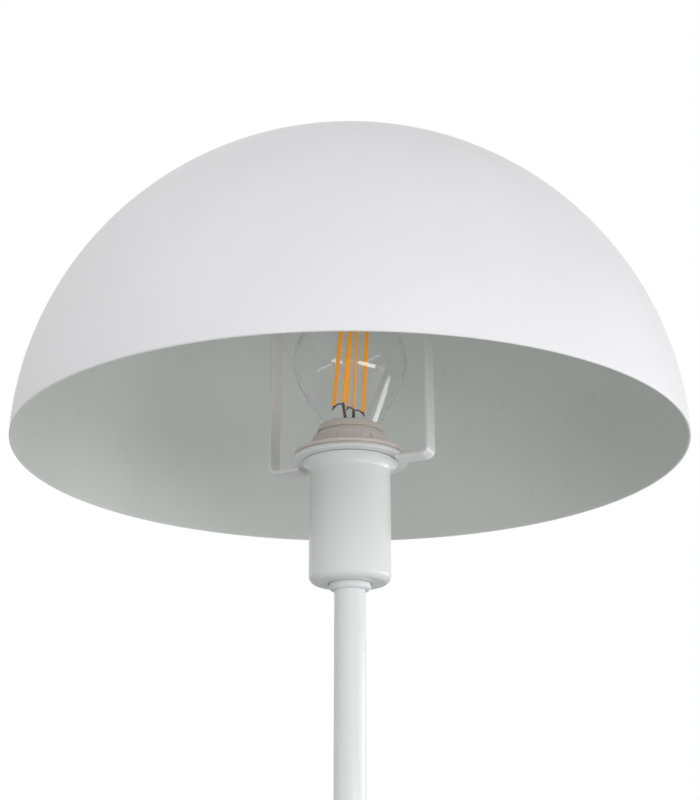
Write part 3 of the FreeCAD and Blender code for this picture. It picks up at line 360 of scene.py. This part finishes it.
cup_bottom, lip_top = heights_of("socket_cup")
cup_radius = 0.01575
cup_wall = 0.001
cup_corner = 0.0028
cup_hole = 0.00505
collar_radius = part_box("stem_collar")[1][0]
seam_half_width = 0.0004
seam_depth = 0.0007
seam_inside = collar_radius - seam_half_width
seam_outside = collar_radius + seam_half_width
seam_top = cup_bottom + seam_depth
lip_radius = 0.0186
lip_edge = 0.0003
lip_start = -60
lip_wedge = 0.00018
wedge_depth = 0.0018
flare_height = 0.0042
flare_width = lip_radius - cup_radius
flare_radius = (flare_width ** 2 + flare_height ** 2) / (2 * flare_width)
flare_swing = np.degrees(np.arcsin(flare_height / flare_radius))
lip_middle = lip_top - lip_wedge - lip_edge
flare_foot = lip_middle - lip_edge - flare_height
corner_across = cup_radius - cup_corner
corner_up = cup_bottom + cup_corner
cup_inside = cup_radius - cup_wall
cup_spacing = 0.0015
cup_sides = 144
bend_steps = 16
inner_bend_steps = 12
edge_steps = 8
fine_steps = 4
cup_line = closed_line(
    (cup_hole, cup_bottom),
    [(seam_inside, cup_bottom), (seam_inside, seam_top)],
    [(seam_outside, seam_top), (seam_outside, cup_bottom)],
    arc(corner_across, corner_up, cup_corner, -90, 0, bend_steps),
    arc(cup_radius + flare_radius, flare_foot, flare_radius, 180, 180 - flare_swing, bend_steps),
    arc(lip_radius - lip_edge, lip_middle, lip_edge, lip_start, 90, edge_steps),
    (lip_radius - wedge_depth, lip_top),
    arc(cup_inside + lip_edge, lip_top - lip_edge, lip_edge, 90, 180, fine_steps),
    arc(corner_across, corner_up, cup_corner - cup_wall, 0, -90, inner_bend_steps),
    (cup_hole, cup_bottom + cup_wall),
    step=cup_spacing,
)
cup_grid = turned_grid(*cup_line.T, even_turns(cup_sides))
cup = piece_from_grids("cup", [cup_grid], loop=True, finishes=[gloss_coat])
fit(cup, "stand", "white_paint", "socket_cup")


# Lampholder
# Two halves moulded in heat resistant beige plastic, screwed on the threaded tube inside the cup.
# The nose carries an outer thread for the shade ring; a brass shell, contacts and clamps sit inside.

fade_rate = 10


def thread_bulge(heights, turns, start, pitch, count, ridge, sink):
    """How far a round ridge wound right-handed about Z stands out of its cylinder.

    The ridge is at start + pitch times the turns made so far. At a distance g above or below it the bulge is
    sqrt(ridge^2 - g^2) - sink, never under 0. Past both of its ends it fades out, over a turn divided by the
    fade rate.
    """
    made = np.asarray(turns)[None, :] / (2 * np.pi)
    passed = (np.asarray(heights)[:, None] - start) / pitch - made
    nearest = np.round(passed)
    along = nearest + made
    distance = (passed - nearest) * pitch
    bulge = np.sqrt(np.maximum(ridge ** 2 - distance ** 2, 0)) - sink
    fade = np.clip(np.minimum(along, count - along) * fade_rate + 1, 0, 1)
    return np.maximum(bulge, 0) * fade


moulded_look = dict(patch_size=0.008, grain_size=0.0005, smoothest=0.42, roughest=0.58, relief=0.00001,
                    Subsurface_Weight=0.05)
beige_plastic = grained("beige_plastic", tone(234, 223, 213), tone(228, 217, 207), **moulded_look)
spigot_bottom, nose_top = heights_of("holder_body")
holder_radius = 0.0134
spigot_radius = 0.0118
spigot_height = 0.003
holder_split = spigot_bottom + spigot_height
insert_seat = 0.0104
insert_height = 0.0115
shell_seat = 0.0084
shell_floor = spigot_bottom + insert_height
ledge_radius = 0.0094
ledge_depth = 0.0065
ledge_height = 0.0026
ledge_top = nose_top - ledge_depth
ledge_foot = ledge_top - ledge_height
nose_radius = 0.0131
nose_bore = 0.0117
nose_round = 0.0009
nose_lip = 0.0001
cone_foot = 0.0133
cone_top = 0.0127
cone_height = 0.003
step_width = 0.00015
step_height = 0.0001
step_depth = 0.0019
step_foot = nose_top - step_depth
nose_thread_length = 0.0126
nose_thread_top = nose_top - cone_height
nose_thread_foot = nose_thread_top - nose_thread_length
relief_depth = 0.0006
relief_height = 0.0005
relief_foot = nose_thread_top - relief_height
nose_pitch = 0.002
nose_ridge = 0.00065
nose_turns = 5.3
ridge_sink = 0.00015
cone_lean = (cone_foot - cone_top - step_width) / (nose_top - nose_round - nose_thread_top)
cone_step = cone_foot - cone_lean * (step_foot - nose_thread_top)
thread_spacing = 0.00022
nose_sides = 120
nose_steps = 10
radius_slack = 1e-6
nose_line = closed_line(
    (insert_seat, spigot_bottom),
    (spigot_radius, spigot_bottom),
    (spigot_radius, holder_split),
    (holder_radius, holder_split),
    (holder_radius, nose_thread_foot),
    (nose_radius, nose_thread_foot),
    (nose_radius, relief_foot),
    (nose_radius - relief_depth, relief_foot),
    (nose_radius - relief_depth, nose_thread_top),
    (cone_foot, nose_thread_top),
    (cone_step, step_foot),
    (cone_step - step_width, step_foot + step_height),
    arc(cone_top - nose_round, nose_top - nose_round, nose_round, 0, 90, nose_steps),
    arc(nose_bore + nose_lip, nose_top - nose_lip, nose_lip, 90, 180, fine_steps),
    (nose_bore, ledge_top),
    (ledge_radius, ledge_foot),
    (shell_seat, ledge_foot),
    (shell_seat, shell_floor),
    (insert_seat, shell_floor),
    step=thread_spacing,
)
nose_across, nose_up = nose_line.T
nose_angles = even_turns(nose_sides)
threaded = np.abs(nose_across - nose_radius) < radius_slack
threaded &= (nose_up > nose_thread_foot) & (nose_up < relief_foot)
nose_bulge = thread_bulge(nose_up, nose_angles, nose_thread_foot + nose_ridge, nose_pitch, nose_turns,
                          nose_ridge, ridge_sink)
nose_radii = nose_across[:, None] + nose_bulge * threaded[:, None]
nose_grid = turned_grid(nose_radii, nose_up, nose_angles)
holder_nose = piece_from_grids("holder_nose", [nose_grid], loop=True, finishes=[beige_plastic])
fit(holder_nose, "stand", "beige_plastic", "holder_body")
dress(beige_plastic, "holder_cap", "holder_insert")
dress(brass, "thread_shell", "centre_contact", "wire_clamps")
dress(zinc_plate, "clamp_screws")


# Bracket ring
# A flat ring blanked from steel sheet and coated glossy white, with the bracket's feet welded under it.
# It sits on the lip of the cup and is clamped there by the shade ring.

plate_bottom, plate_top = heights_of("bracket_ring")
plate_radius = 0.0228
plate_bore = 0.0141
plate_edge = 0.0005
bore_edge = 0.0002
plate_spacing = 0.001
plate_sides = 144
plate_line = closed_line(
    arc(plate_bore + bore_edge, plate_bottom + bore_edge, bore_edge, 180, 270, fine_steps),
    arc(plate_radius - plate_edge, plate_bottom + plate_edge, plate_edge, -90, 0, edge_steps),
    arc(plate_radius - plate_edge, plate_top - plate_edge, plate_edge, 0, 90, edge_steps),
    arc(plate_bore + bore_edge, plate_top - bore_edge, bore_edge, 90, 180, fine_steps),
    step=plate_spacing,
)
plate_grid = turned_grid(*plate_line.T, even_turns(plate_sides))
bracket_ring = piece_from_grids("bracket_ring_plate", [plate_grid], loop=True, finishes=[gloss_coat])
fit(bracket_ring, "clamp_plate", "white_paint", "bracket_ring")


# Shade ring
# A ring moulded in pale pinkish plastic, with an inner thread, screwed down on the nose by hand.
# Its flange presses on the bracket ring, and deep grooves with fine lines between them give a grip.

ring_plastic = grained("ring_plastic", tone(233, 222, 218), tone(227, 216, 212), **moulded_look)
ring_bottom, ring_top = heights_of("shade_ring")
flange_radius = 0.0219
flange_height = 0.0024
flange_top = ring_bottom + flange_height
flange_round = 0.0005
undercut_depth = 0.0006
undercut_height = 0.0008
undercut_top = ring_bottom + undercut_height
skirt_foot = 0.0163
skirt_top = 0.0144
skirt_fillet = 0.0012
panel_sink = 0.0003
band_height = 0.0018
band_bottom = ring_top - band_height
band_slope = 0.00012
top_slope = 0.00025
ring_bore = 0.01385
ring_round = 0.0003
ring_ridge = 0.00055
ring_turns = 3.325
panel_count = 7
groove_start = np.radians(-85.6)
groove_half = 0.0003
groove_depth = 0.00045
line_depth = 0.0001
lines_in_panel = 2
points_in_groove = 5
grid_steps = 8
fillet_steps = 6
panel_foot = skirt_foot - panel_sink
panel_lean = (skirt_foot - skirt_top) / (ring_top - flange_top)
panel_head = panel_foot - panel_lean * (band_bottom - flange_top)
ring_line = closed_line(
    arc(ring_bore + ring_round, ring_bottom + ring_round, ring_round, 180, 270, fine_steps),
    (flange_radius - undercut_depth, ring_bottom),
    (flange_radius - undercut_depth, undercut_top),
    (flange_radius, undercut_top),
    arc(flange_radius - flange_round, flange_top - flange_round, flange_round, 0, 90, edge_steps),
    arc(panel_foot + skirt_fillet, flange_top + skirt_fillet, skirt_fillet, 270, 180, fillet_steps),
    (panel_head, band_bottom),
    (panel_head + panel_sink, band_bottom + band_slope),
    (skirt_top, ring_top - top_slope),
    (skirt_top - top_slope, ring_top),
    arc(ring_bore + ring_round, ring_top - ring_round, ring_round, 90, 180, fine_steps),
    step=thread_spacing,
)
ring_across, ring_up = ring_line.T
depths_in_panel = np.array((groove_depth, *(line_depth,) * lines_in_panel))
groove_depths = np.tile(depths_in_panel, panel_count)
groove_pitch = 2 * np.pi / len(groove_depths)
groove_half_angle = groove_half / skirt_foot
near_groove = groove_half_angle * np.linspace(-1, 1, points_in_groove)
between_grooves = np.linspace(0, groove_pitch, grid_steps, endpoint=False)[1:]
one_groove = np.concatenate((near_groove, between_grooves))
groove_turns = groove_start + np.arange(len(groove_depths)) * groove_pitch
ring_angles = (groove_turns[:, None] + one_groove).reshape(-1)
from_groove = np.abs((ring_angles - groove_start + groove_pitch / 2) % groove_pitch - groove_pitch / 2)
# A groove has its full depth over its middle half, and slopes up from there to both edges.
groove_share = np.clip(2 - 2 * from_groove / groove_half_angle, 0, 1)
groove_shape = groove_share * np.repeat(groove_depths, len(one_groove))
on_panel = (ring_across > skirt_top - panel_sink) & (ring_across < skirt_foot) & (ring_up < band_bottom)
on_panel &= ring_up > flange_top + skirt_fillet / 2
on_bore = ring_across < ring_bore + radius_slack
# The ridge in the bore runs midway between the turns of the ridge on the nose.
first_ridge = nose_thread_foot + nose_ridge + nose_pitch / 2 + nose_pitch
ring_bulge = thread_bulge(ring_up, ring_angles, first_ridge, nose_pitch, ring_turns, ring_ridge, ridge_sink)
ring_radii = ring_across[:, None] - groove_shape * on_panel[:, None] - ring_bulge * on_bore[:, None]
ring_grid = turned_grid(ring_radii, ring_up, ring_angles)
shade_ring = piece_from_grids("grip_ring", [ring_grid], loop=True, finishes=[ring_plastic])
fit(shade_ring, "screw_ring", "beige_plastic", "shade_ring")


# Bracket
# A flat steel strip bent to a tall U and coated glossy white, its feet bent inwards under the bracket ring.
# A plated stud under the crown of the shade goes through it, with a washer and a hexagonal nut.

def carried_grid(path, section, sides, sizes):
    """Section points (a, b) carried along a path: path + size (a side + b across), across = tangent x side.

    The path's two ends are added as poles, so that the ends are closed.
    """
    tangents = np.gradient(path, axis=0)
    tangents /= np.linalg.norm(tangents, axis=1, keepdims=True)
    across = np.cross(tangents, sides)
    across /= np.linalg.norm(across, axis=1, keepdims=True)
    along_side = np.cross(across, tangents)
    offsets = section[None, :, :1] * along_side[:, None] + section[None, :, 1:] * across[:, None]
    grid = path[:, None] + offsets * np.reshape(sizes, (-1, 1, 1))
    ends = np.broadcast_to(path[[0, -1], None], (2, *grid.shape[1:]))
    return np.concatenate((ends[:1], grid, ends[1:]))


foot_bottom, bridge_top = heights_of("shade_bracket")
strip_thick = 0.0015
strip_width = 0.008
strip_bend = 0.0035
strip_edge = 0.00035
arm_reach = 0.0342
foot_end = 0.0205
strip_spacing = 0.0015
section_spacing = 0.0005
strip_bend_steps = 10
strip_edge_steps = 6
middle_bend = strip_bend - strip_thick / 2
bend_across = arm_reach - strip_bend
low_bend = foot_bottom + strip_bend
high_bend = bridge_top - strip_bend
strip_line = np.concatenate((
    [(foot_end, foot_bottom + strip_thick / 2)],
    arc(bend_across, low_bend, middle_bend, -90, 0, strip_bend_steps),
    arc(bend_across, high_bend, middle_bend, 0, 90, strip_bend_steps),
    arc(-bend_across, high_bend, middle_bend, 90, 180, strip_bend_steps),
    arc(-bend_across, low_bend, middle_bend, 180, 270, strip_bend_steps),
    [(-foot_end, foot_bottom + strip_thick / 2)],
))
strip_line = close_spaced(strip_line, step=strip_spacing)
strip_path = np.stack((strip_line[:, 0], np.zeros(len(strip_line)), strip_line[:, 1]), axis=1)
edge_across = strip_width / 2 - strip_edge
edge_up = strip_thick / 2 - strip_edge
strip_section = closed_line(
    arc(edge_across, -edge_up, strip_edge, -90, 0, strip_edge_steps),
    arc(edge_across, edge_up, strip_edge, 0, 90, strip_edge_steps),
    arc(-edge_across, edge_up, strip_edge, 90, 180, strip_edge_steps),
    arc(-edge_across, -edge_up, strip_edge, 180, 270, strip_edge_steps),
    step=section_spacing,
)
strip_side = np.array((0.0, 1.0, 0.0))
strip_grid = carried_grid(strip_path, strip_section, strip_side, np.ones(len(strip_path)))
bracket = piece_from_grids("bent_bracket", [strip_grid], loop=False, finishes=[gloss_coat])
fit(bracket, "shade", "white_paint", "shade_bracket")
dress(zinc_plate, "crown_stud", "crown_washer", "crown_nut")


# Shade
# A half sphere spun from steel sheet, powder coated white inside and out; inside, the coat is rougher and
# its colour is a greyer, greener white, which is painted shade.
# The sheet's edge is rounded at the rim, and the stud welded inside the crown holds it on the bracket.

def speck_group():
    """Mask of small scattered specks: 1 within a short distance of the points of a random 3-D scatter."""
    number = "NodeSocketFloat"
    inputs = {"Spacing": number, "Reach": number}
    group, given, result = shader_group("paint_specks", inputs, {"Mask": number})
    place = shader_node(group, "ShaderNodeTexCoord").outputs["Object"]
    scale = shader_node(group, "ShaderNodeMath")
    scale.operation = "DIVIDE"
    scale.inputs[0].default_value = 1.0
    group.links.new(given["Spacing"], scale.inputs[1])
    scatter = shader_node(group, "ShaderNodeTexVoronoi", Vector=place, Scale=scale.outputs[0])
    mask = shader_node(group, "ShaderNodeMapRange", Value=scatter.outputs["Distance"],
                       From_Min=given["Reach"], From_Max=0.0)
    group.links.new(mask.outputs["Result"], result["Mask"])
    return group


def specked(finish, specks, colour, spacing, reach):
    """Put scattered specks of another colour on a grained finish."""
    tree = finish.node_tree
    mask = tree.nodes.new("ShaderNodeGroup")
    mask.node_tree = specks
    mask.inputs["Spacing"].default_value = spacing
    mask.inputs["Reach"].default_value = reach
    spotted = shader_node(tree, "ShaderNodeMix")
    spotted.data_type = "RGBA"
    tree.links.new(mask.outputs["Mask"], spotted.inputs["Factor"])
    tree.links.new(tree.nodes["grain"].outputs["Colour"], spotted.inputs["A"])
    spotted.inputs["B"].default_value = colour
    tree.links.new(spotted.outputs["Result"], tree.nodes["Principled BSDF"].inputs["Base Color"])


# The inside takes the outer white made greyer and slightly greener: painted shade of the inside of the dome.
inner_coat_painted_shade = grained("inner_coat_painted_shade", tone(227, 231, 227), tone(223, 227, 223), patch_size=0.05,
                     grain_size=0.0006, smoothest=0.5, roughest=0.62, relief=0.000006)
specked(inner_coat_painted_shade, speck_group(), tone(120, 122, 118), spacing=0.009, reach=0.045)
rim, crown = heights_of("shade_dome")
shade_radius = crown - rim
shade_wall = 0.001
shade_sides = 256
quarter_steps = 90
rim_steps = 12
rim_round = shade_wall / 2
wall_middle = shade_radius - rim_round
rim_lift = np.degrees(np.arcsin(rim_round / wall_middle))
rim_across = np.sqrt(wall_middle ** 2 - rim_round ** 2)
inner_line = arc(0, rim, shade_radius - shade_wall, 90, rim_lift, quarter_steps)
rim_line = arc(rim_across, rim + rim_round, rim_round, 180 + rim_lift, 360 + rim_lift, rim_steps)
outer_line = arc(0, rim, shade_radius, rim_lift, 90, quarter_steps)
shade_line = np.concatenate((inner_line[:-1], rim_line, outer_line[1:]))
shade_line[[0, -1], 0] = 0.0
# Rows past the inner line take the second finish. The pole at the start has no row of faces of its own.
outside = (np.arange(len(shade_line)) > len(inner_line)).astype(int)
shade_grid = turned_grid(*shade_line.T, even_turns(shade_sides))
shade = piece_from_grids("spun_shade", [shade_grid], loop=False, finishes=[inner_coat_painted_shade, powder_coat],
                         finish_of_row=outside[1:])
fit(shade, "shade", "white_paint", "shade_dome")


# Bulb
# A round clear LED bulb: blown glass on a nickel plated cap with a black insulator and a solder contact.
# Five amber coated filament rods hang between stiff wires on a glass stem, over a small driver board.

def lets_light_through(finish):
    """Let lamps shine straight through glass: rays towards a lamp meet a Transparent shader."""
    tree = finish.node_tree
    rays = shader_node(tree, "ShaderNodeLightPath")
    clear = shader_node(tree, "ShaderNodeBsdfTransparent")
    either = tree.nodes.new("ShaderNodeMixShader")
    tree.links.new(rays.outputs["Is Shadow Ray"], either.inputs[0])
    tree.links.new(tree.nodes["Principled BSDF"].outputs[0], either.inputs[1])
    tree.links.new(clear.outputs[0], either.inputs[2])
    tree.links.new(either.outputs[0], tree.nodes["Material Output"].inputs["Surface"])


clear_glass = grained("clear_glass", tone(254, 254, 254), tone(252, 252, 252), patch_size=0.02,
                      grain_size=0.006, smoothest=0.0, roughest=0.02, relief=0.000004,
                      Transmission_Weight=1.0, IOR=1.5)
lets_light_through(clear_glass)
nickel = grained("nickel", tone(196, 192, 184), tone(182, 178, 170), patch_size=0.003, grain_size=0.0003,
                 smoothest=0.18, roughest=0.32, relief=0.000006, Metallic=1.0)
black_insulator = grained("black_insulator", tone(26, 24, 26), tone(34, 32, 36), patch_size=0.002,
                          grain_size=0.0003, smoothest=0.15, roughest=0.3, relief=0.00001)
solder = grained("solder", tone(186, 188, 190), tone(168, 170, 174), patch_size=0.0015, grain_size=0.0004,
                 smoothest=0.25, roughest=0.45, relief=0.00004, Metallic=1.0)
green_board = grained("green_board", tone(36, 96, 56), tone(30, 84, 48), patch_size=0.002, grain_size=0.0004,
                      smoothest=0.3, roughest=0.45, relief=0.00002)
# The amber rods also carry an emission, a painted glow that lightens the unlit rods in the shade of the
# dome.
amber_phosphor = grained("amber_phosphor", tone(240, 162, 0), tone(238, 148, 0), patch_size=0.006,
                         grain_size=0.0005, smoothest=0.35, roughest=0.5, relief=0.00003,
                         Specular_IOR_Level=0.2, Emission_Color=tone(242, 162, 0), Emission_Strength=0.36)
dark_wire = grained("dark_wire", tone(66, 58, 54), tone(118, 66, 48), patch_size=0.002, grain_size=0.0003,
                    smoothest=0.35, roughest=0.55, relief=0.00001, Metallic=0.3)
dress(nickel, "bulb_cap")
dress(black_insulator, "cap_insulator")
dress(solder, "cap_contact")
dress(green_board, "bulb_driver")
dress(clear_glass, "bulb_stem")

bulb_bottom = heights_of("cap_contact")[0]
bulb_top = heights_of("bulb_glass")[1]
globe_radius = 0.0227
glass_wall = 0.0008
cone_widening = 0.00541
cone_rise = 0.01
glass_sides = 160
globe_steps = 72
cone_steps = 16
glass_seat = 0.00815
seat_inside = glass_seat - glass_wall
globe_middle = bulb_top - globe_radius
cap_height = 0.0226
seat_depth = 0.0016
seat_bottom = bulb_bottom + cap_height - seat_depth


def glass_line(wall, seat):
    """Bulb profile set in by a wall: globe arc, then the straight cone that touches it, down to its seat.

    They touch as far below the globe's middle, in angle, as the cone leans from upright.
    """
    globe = globe_radius - wall
    lean = np.arctan2(cone_widening, cone_rise)
    touch = np.array((globe * np.cos(lean), globe_middle - globe * np.sin(lean)))
    foot = np.array((seat, touch[1] - (touch[0] - seat) * cone_rise / cone_widening))
    return np.concatenate((
        arc(0, globe_middle, globe, 90, -np.degrees(lean), globe_steps),
        np.linspace(touch, foot, cone_steps)[1:],
    ))


outer_glass = glass_line(0, glass_seat)[::-1]
inner_glass = glass_line(glass_wall, seat_inside)
bulb_line = np.concatenate((
    inner_glass,
    [(seat_inside, seat_bottom), (glass_seat, seat_bottom)],
    outer_glass,
))
bulb_line[[0, -1], 0] = 0.0
glass_grid = turned_grid(*bulb_line.T, even_turns(glass_sides))
glass = piece_from_grids("blown_glass", [glass_grid], loop=False, finishes=[clear_glass])
fit(glass, "bulb_globe", "clear_glass", "bulb_glass")

filament_half_width = 0.00085
filament_half_thick = 0.0005
filament_rise = 0.0371
filament_foot = bulb_bottom + filament_rise
filament_length = 0.0375
foot_shift = -0.0006
top_shift = 0.0021
foot_spread = 0.00545
top_spread = 0.0042
pair_gap = 0.0057
third_gap = 0.0037
cage_turn = 67
post_place = -pair_gap / 2
outer_place = pair_gap / 2
third_place = post_place - third_gap
# Two rows of rods, one on each side of the stem. A row runs along its own turn, and each rod in it has
# a place along the row and a turn of its flat side. All turns are in degrees.
rod_rows = (
    {"side": 1, "turn": 71, "faces": {post_place: 104, outer_place: 24, third_place: 110}},
    {"side": -1, "turn": 157, "faces": {post_place: 34, outer_place: 24}},
)
pin_length = 0.0009
wire_radius = 0.0003
wire_arch = 0.001
wire_spare = 1.25
wire_steps = 25
wire_sides = 20
rod_steps = 24
cap_steps = 8
cap_clearance = 1.3
stem_rise = 0.028
stem_tip = bulb_bottom + stem_rise
post_spread = 0.0015
post_radius = 0.0006
upright = np.array((0.0, 0.0, 1.0))
round_section = arc(0, 0, 1.0, 0, 360, wire_sides)[:-1]
flat_section = round_section * (filament_half_width, filament_half_thick)


def level(turn):
    """Level direction at an angle in degrees from the X axis."""
    return np.array((np.cos(np.radians(turn)), np.sin(np.radians(turn)), 0.0))


def straight_path(start, end, count):
    """Evenly spaced points from one point to another."""
    return start + np.linspace(0, 1, count)[:, None] * (end - start)


def arched_path(middle, half, rise):
    """Parabola over a middle point: middle + t half + rise (1 - t^2), a little past t = -1 and t = 1."""
    steps = np.linspace(-wire_spare, wire_spare, wire_steps)[:, None]
    return middle + steps * half + (1 - steps ** 2) * rise * upright


def round_wire(path, side, radius=wire_radius):
    """Round wire along a path."""
    return carried_grid(path, round_section, side, np.full(len(path), radius))


rods = []
wires = []
heads = []
apart = level(cage_turn)
rod_ends = np.sqrt(1 - np.linspace(1, 0, cap_steps) ** 2)
rod_sizes = np.concatenate((rod_ends, np.ones(rod_steps), rod_ends[::-1]))
cap_heights = filament_half_width * np.linspace(0, 1, cap_steps)[:, None]
# The straight part of a rod starts a little past its rounded end.
first_run = cap_heights[-1] * cap_clearance
for row in rod_rows:
    along = level(row["turn"])
    shift = row["side"] * apart
    foot = filament_foot * upright + foot_shift * level(0) + foot_spread * shift
    top = (filament_foot + filament_length) * upright + top_shift * level(0) + top_spread * shift
    way = (top - foot) / np.linalg.norm(top - foot)
    for place, face_turn in row["faces"].items():
        low = foot + place * along + pin_length * way
        high = top + place * along - pin_length * way
        rod_path = np.concatenate((low + cap_heights * way,
                                   straight_path(low + first_run * way, high - first_run * way, rod_steps),
                                   high - cap_heights[::-1] * way))
        rods.append(carried_grid(rod_path, flat_section, level(face_turn), rod_sizes))
        for middle, rod_end, into in ((foot, low, way), (top, high, -way)):
            sunk = rod_end + filament_half_width * into
            wires.append(round_wire(straight_path(middle + place * along, sunk, wire_steps), apart))
            if place != post_place:
                arm_middle = middle + (place + post_place) / 2 * along
                arm_half = (place - post_place) / 2 * along
                wires.append(round_wire(arched_path(arm_middle, arm_half, wire_arch), upright))
    post_foot = stem_tip * upright + post_spread * shift
    post_path = straight_path(post_foot, foot + post_place * along, wire_steps)
    wires.append(round_wire(post_path, apart, post_radius))
    heads.append(top + post_place * along)
wires.append(round_wire(straight_path(*heads, wire_steps), upright))
filaments = piece_from_grids("filament_rods", rods, loop=False, finishes=[amber_phosphor])
fit(filaments, "bulb_core", "amber_phosphor", "bulb_filaments")
cage = piece_from_grids("filament_wires", wires, loop=False, finishes=[dark_wire])
fit(cage, "bulb_core", "dark_wire", "bulb_wires")


# Room
# A pale matt floor under soft lamps in front, high on the left and low on the right, in an even glow.
# The camera looks up from below the rim; what it, mirrors and glass see behind the lamp is plain white.
# For the camera alone the floor fades to the same white, and keeps a soft shadow near the lamp.

scene = bpy.context.scene
floor_radius = 3.0
floor_sides = 64
fade_start = 0.1
fade_end = 0.7
fade_least = 0.5
glow_strength = 0.32
pure_white = (1.0, 1.0, 1.0, 1.0)


def seen_by(tree, *kinds):
    """1 for rays of the given kinds and 0 for others: the largest of their Light Path outputs."""
    rays = shader_node(tree, "ShaderNodeLightPath")
    shown = rays.outputs[kinds[0]]
    for kind in kinds[1:]:
        most = shader_node(tree, "ShaderNodeMath")
        most.operation = "MAXIMUM"
        tree.links.new(shown, most.inputs[0])
        tree.links.new(rays.outputs[kind], most.inputs[1])
        shown = most.outputs[0]
    return shown


def shown_instead(tree, shown, usual, other, end):
    """Let the rays that are shown something else meet the other shader, and all the rest the usual one."""
    choice = tree.nodes.new("ShaderNodeMixShader")
    tree.links.new(shown, choice.inputs[0])
    tree.links.new(usual.outputs[0], choice.inputs[1])
    tree.links.new(other.outputs[0], choice.inputs[2])
    tree.links.new(choice.outputs[0], tree.nodes[end].inputs["Surface"])


floor_mesh = bpy.data.meshes.new("floor")
floor_edge = turned_grid([floor_radius], [0.0], even_turns(floor_sides))[0]
floor_mesh.from_pydata(floor_edge, [], [range(floor_sides)])
floor = bpy.data.objects.new("floor", floor_mesh)
scene.collection.objects.link(floor)
pale_floor = grained("pale_floor", tone(226, 227, 226), tone(223, 224, 223), patch_size=0.5,
                     grain_size=0.002, smoothest=0.8, roughest=0.9, relief=0.00001)
floor_tree = pale_floor.node_tree
floor_place = shader_node(floor_tree, "ShaderNodeTexCoord").outputs["Object"]
floor_way = shader_node(floor_tree, "ShaderNodeVectorMath", Vector=floor_place)
floor_way.operation = "LENGTH"
fade = shader_node(floor_tree, "ShaderNodeMapRange", Value=floor_way.outputs["Value"], From_Min=fade_start,
                   From_Max=fade_end, To_Min=fade_least, To_Max=1.0)
faded = shader_node(floor_tree, "ShaderNodeMath")
faded.operation = "MULTIPLY"
floor_tree.links.new(fade.outputs["Result"], faded.inputs[0])
floor_tree.links.new(seen_by(floor_tree, "Is Camera Ray"), faded.inputs[1])
floor_white = shader_node(floor_tree, "ShaderNodeEmission", Color=pure_white, Strength=1.0)
shown_instead(floor_tree, faded.outputs[0], floor_tree.nodes["Principled BSDF"], floor_white,
              "Material Output")
floor_mesh.materials.append(pale_floor)

scene.view_settings.view_transform = "Standard"
world = bpy.data.worlds.new("even_glow")
world.use_nodes = True
scene.world = world
world_tree = world.node_tree
glow = world_tree.nodes["Background"]
glow.inputs["Color"].default_value = pure_white
glow.inputs["Strength"].default_value = glow_strength
white = shader_node(world_tree, "ShaderNodeBackground", Color=pure_white, Strength=1.0)
shown_instead(world_tree, seen_by(world_tree, "Is Camera Ray", "Is Glossy Ray", "Is Transmission Ray"),
              glow, white, "World Output")

view_turn = np.radians(24)
view_right = np.array((np.cos(view_turn), np.sin(view_turn), 0.0))
view_away = np.array((-np.sin(view_turn), np.cos(view_turn), 0.0))
lamp_target = np.array((0.0, 0.0, 0.33))


def soft_lamp(name, right, near, up, width, height, power, mirrored):
    """Area lamp beside the camera's line of sight, turned towards the shade and hidden from the camera.

    Glass and metal show only the lamps that are mirrored.
    """
    data = bpy.data.lights.new(name, "AREA")
    data.shape = "RECTANGLE"
    data.size = width
    data.size_y = height
    data.energy = power
    lamp = bpy.data.objects.new(name, data)
    place = lamp_target + right * view_right - near * view_away + up * upright
    lamp.location = place
    back = place - lamp_target
    turn = np.arctan2(back[0], -back[1])
    tilt = np.arctan2(np.hypot(back[0], back[1]), back[2])
    lamp.rotation_euler = (tilt, 0.0, turn)
    lamp.visible_camera = False
    lamp.visible_glossy = mirrored
    scene.collection.objects.link(lamp)


soft_lamp("front_lamp", right=0.12, near=1.5, up=0.1, width=1.2, height=1.2, power=9.9, mirrored=False)
soft_lamp("high_left_lamp", right=-0.9, near=0.6, up=1.0, width=0.9, height=0.9, power=3.5, mirrored=False)
soft_lamp("right_lamp", right=0.9, near=0.0, up=-0.13, width=0.8, height=0.34, power=1.9, mirrored=True)
soft_lamp("far_right_lamp", right=1.2, near=-0.6, up=-0.1, width=0.6, height=0.4, power=2.4, mirrored=True)
soft_lamp("low_right_strip", right=0.25, near=0.34, up=-0.165, width=0.3, height=0.055, power=0.28,
          mirrored=True)
soft_lamp("low_left_strip", right=-0.36, near=0.22, up=-0.16, width=0.3, height=0.03, power=0.05,
          mirrored=True)

camera_data = bpy.data.cameras.new("camera")
camera_data.sensor_fit = "HORIZONTAL"
camera_data.sensor_width = 36.0
camera_data.lens = 69.41
camera = bpy.data.objects.new("camera", camera_data)
camera_distance = 0.50436
camera_height = 0.1313
camera_pitch = np.radians(20.0)
camera.location = -camera_distance * view_away + camera_height * upright
camera.rotation_euler = (np.pi / 2 + camera_pitch, 0.0, view_turn)
scene.collection.objects.link(camera)
scene.camera = camera
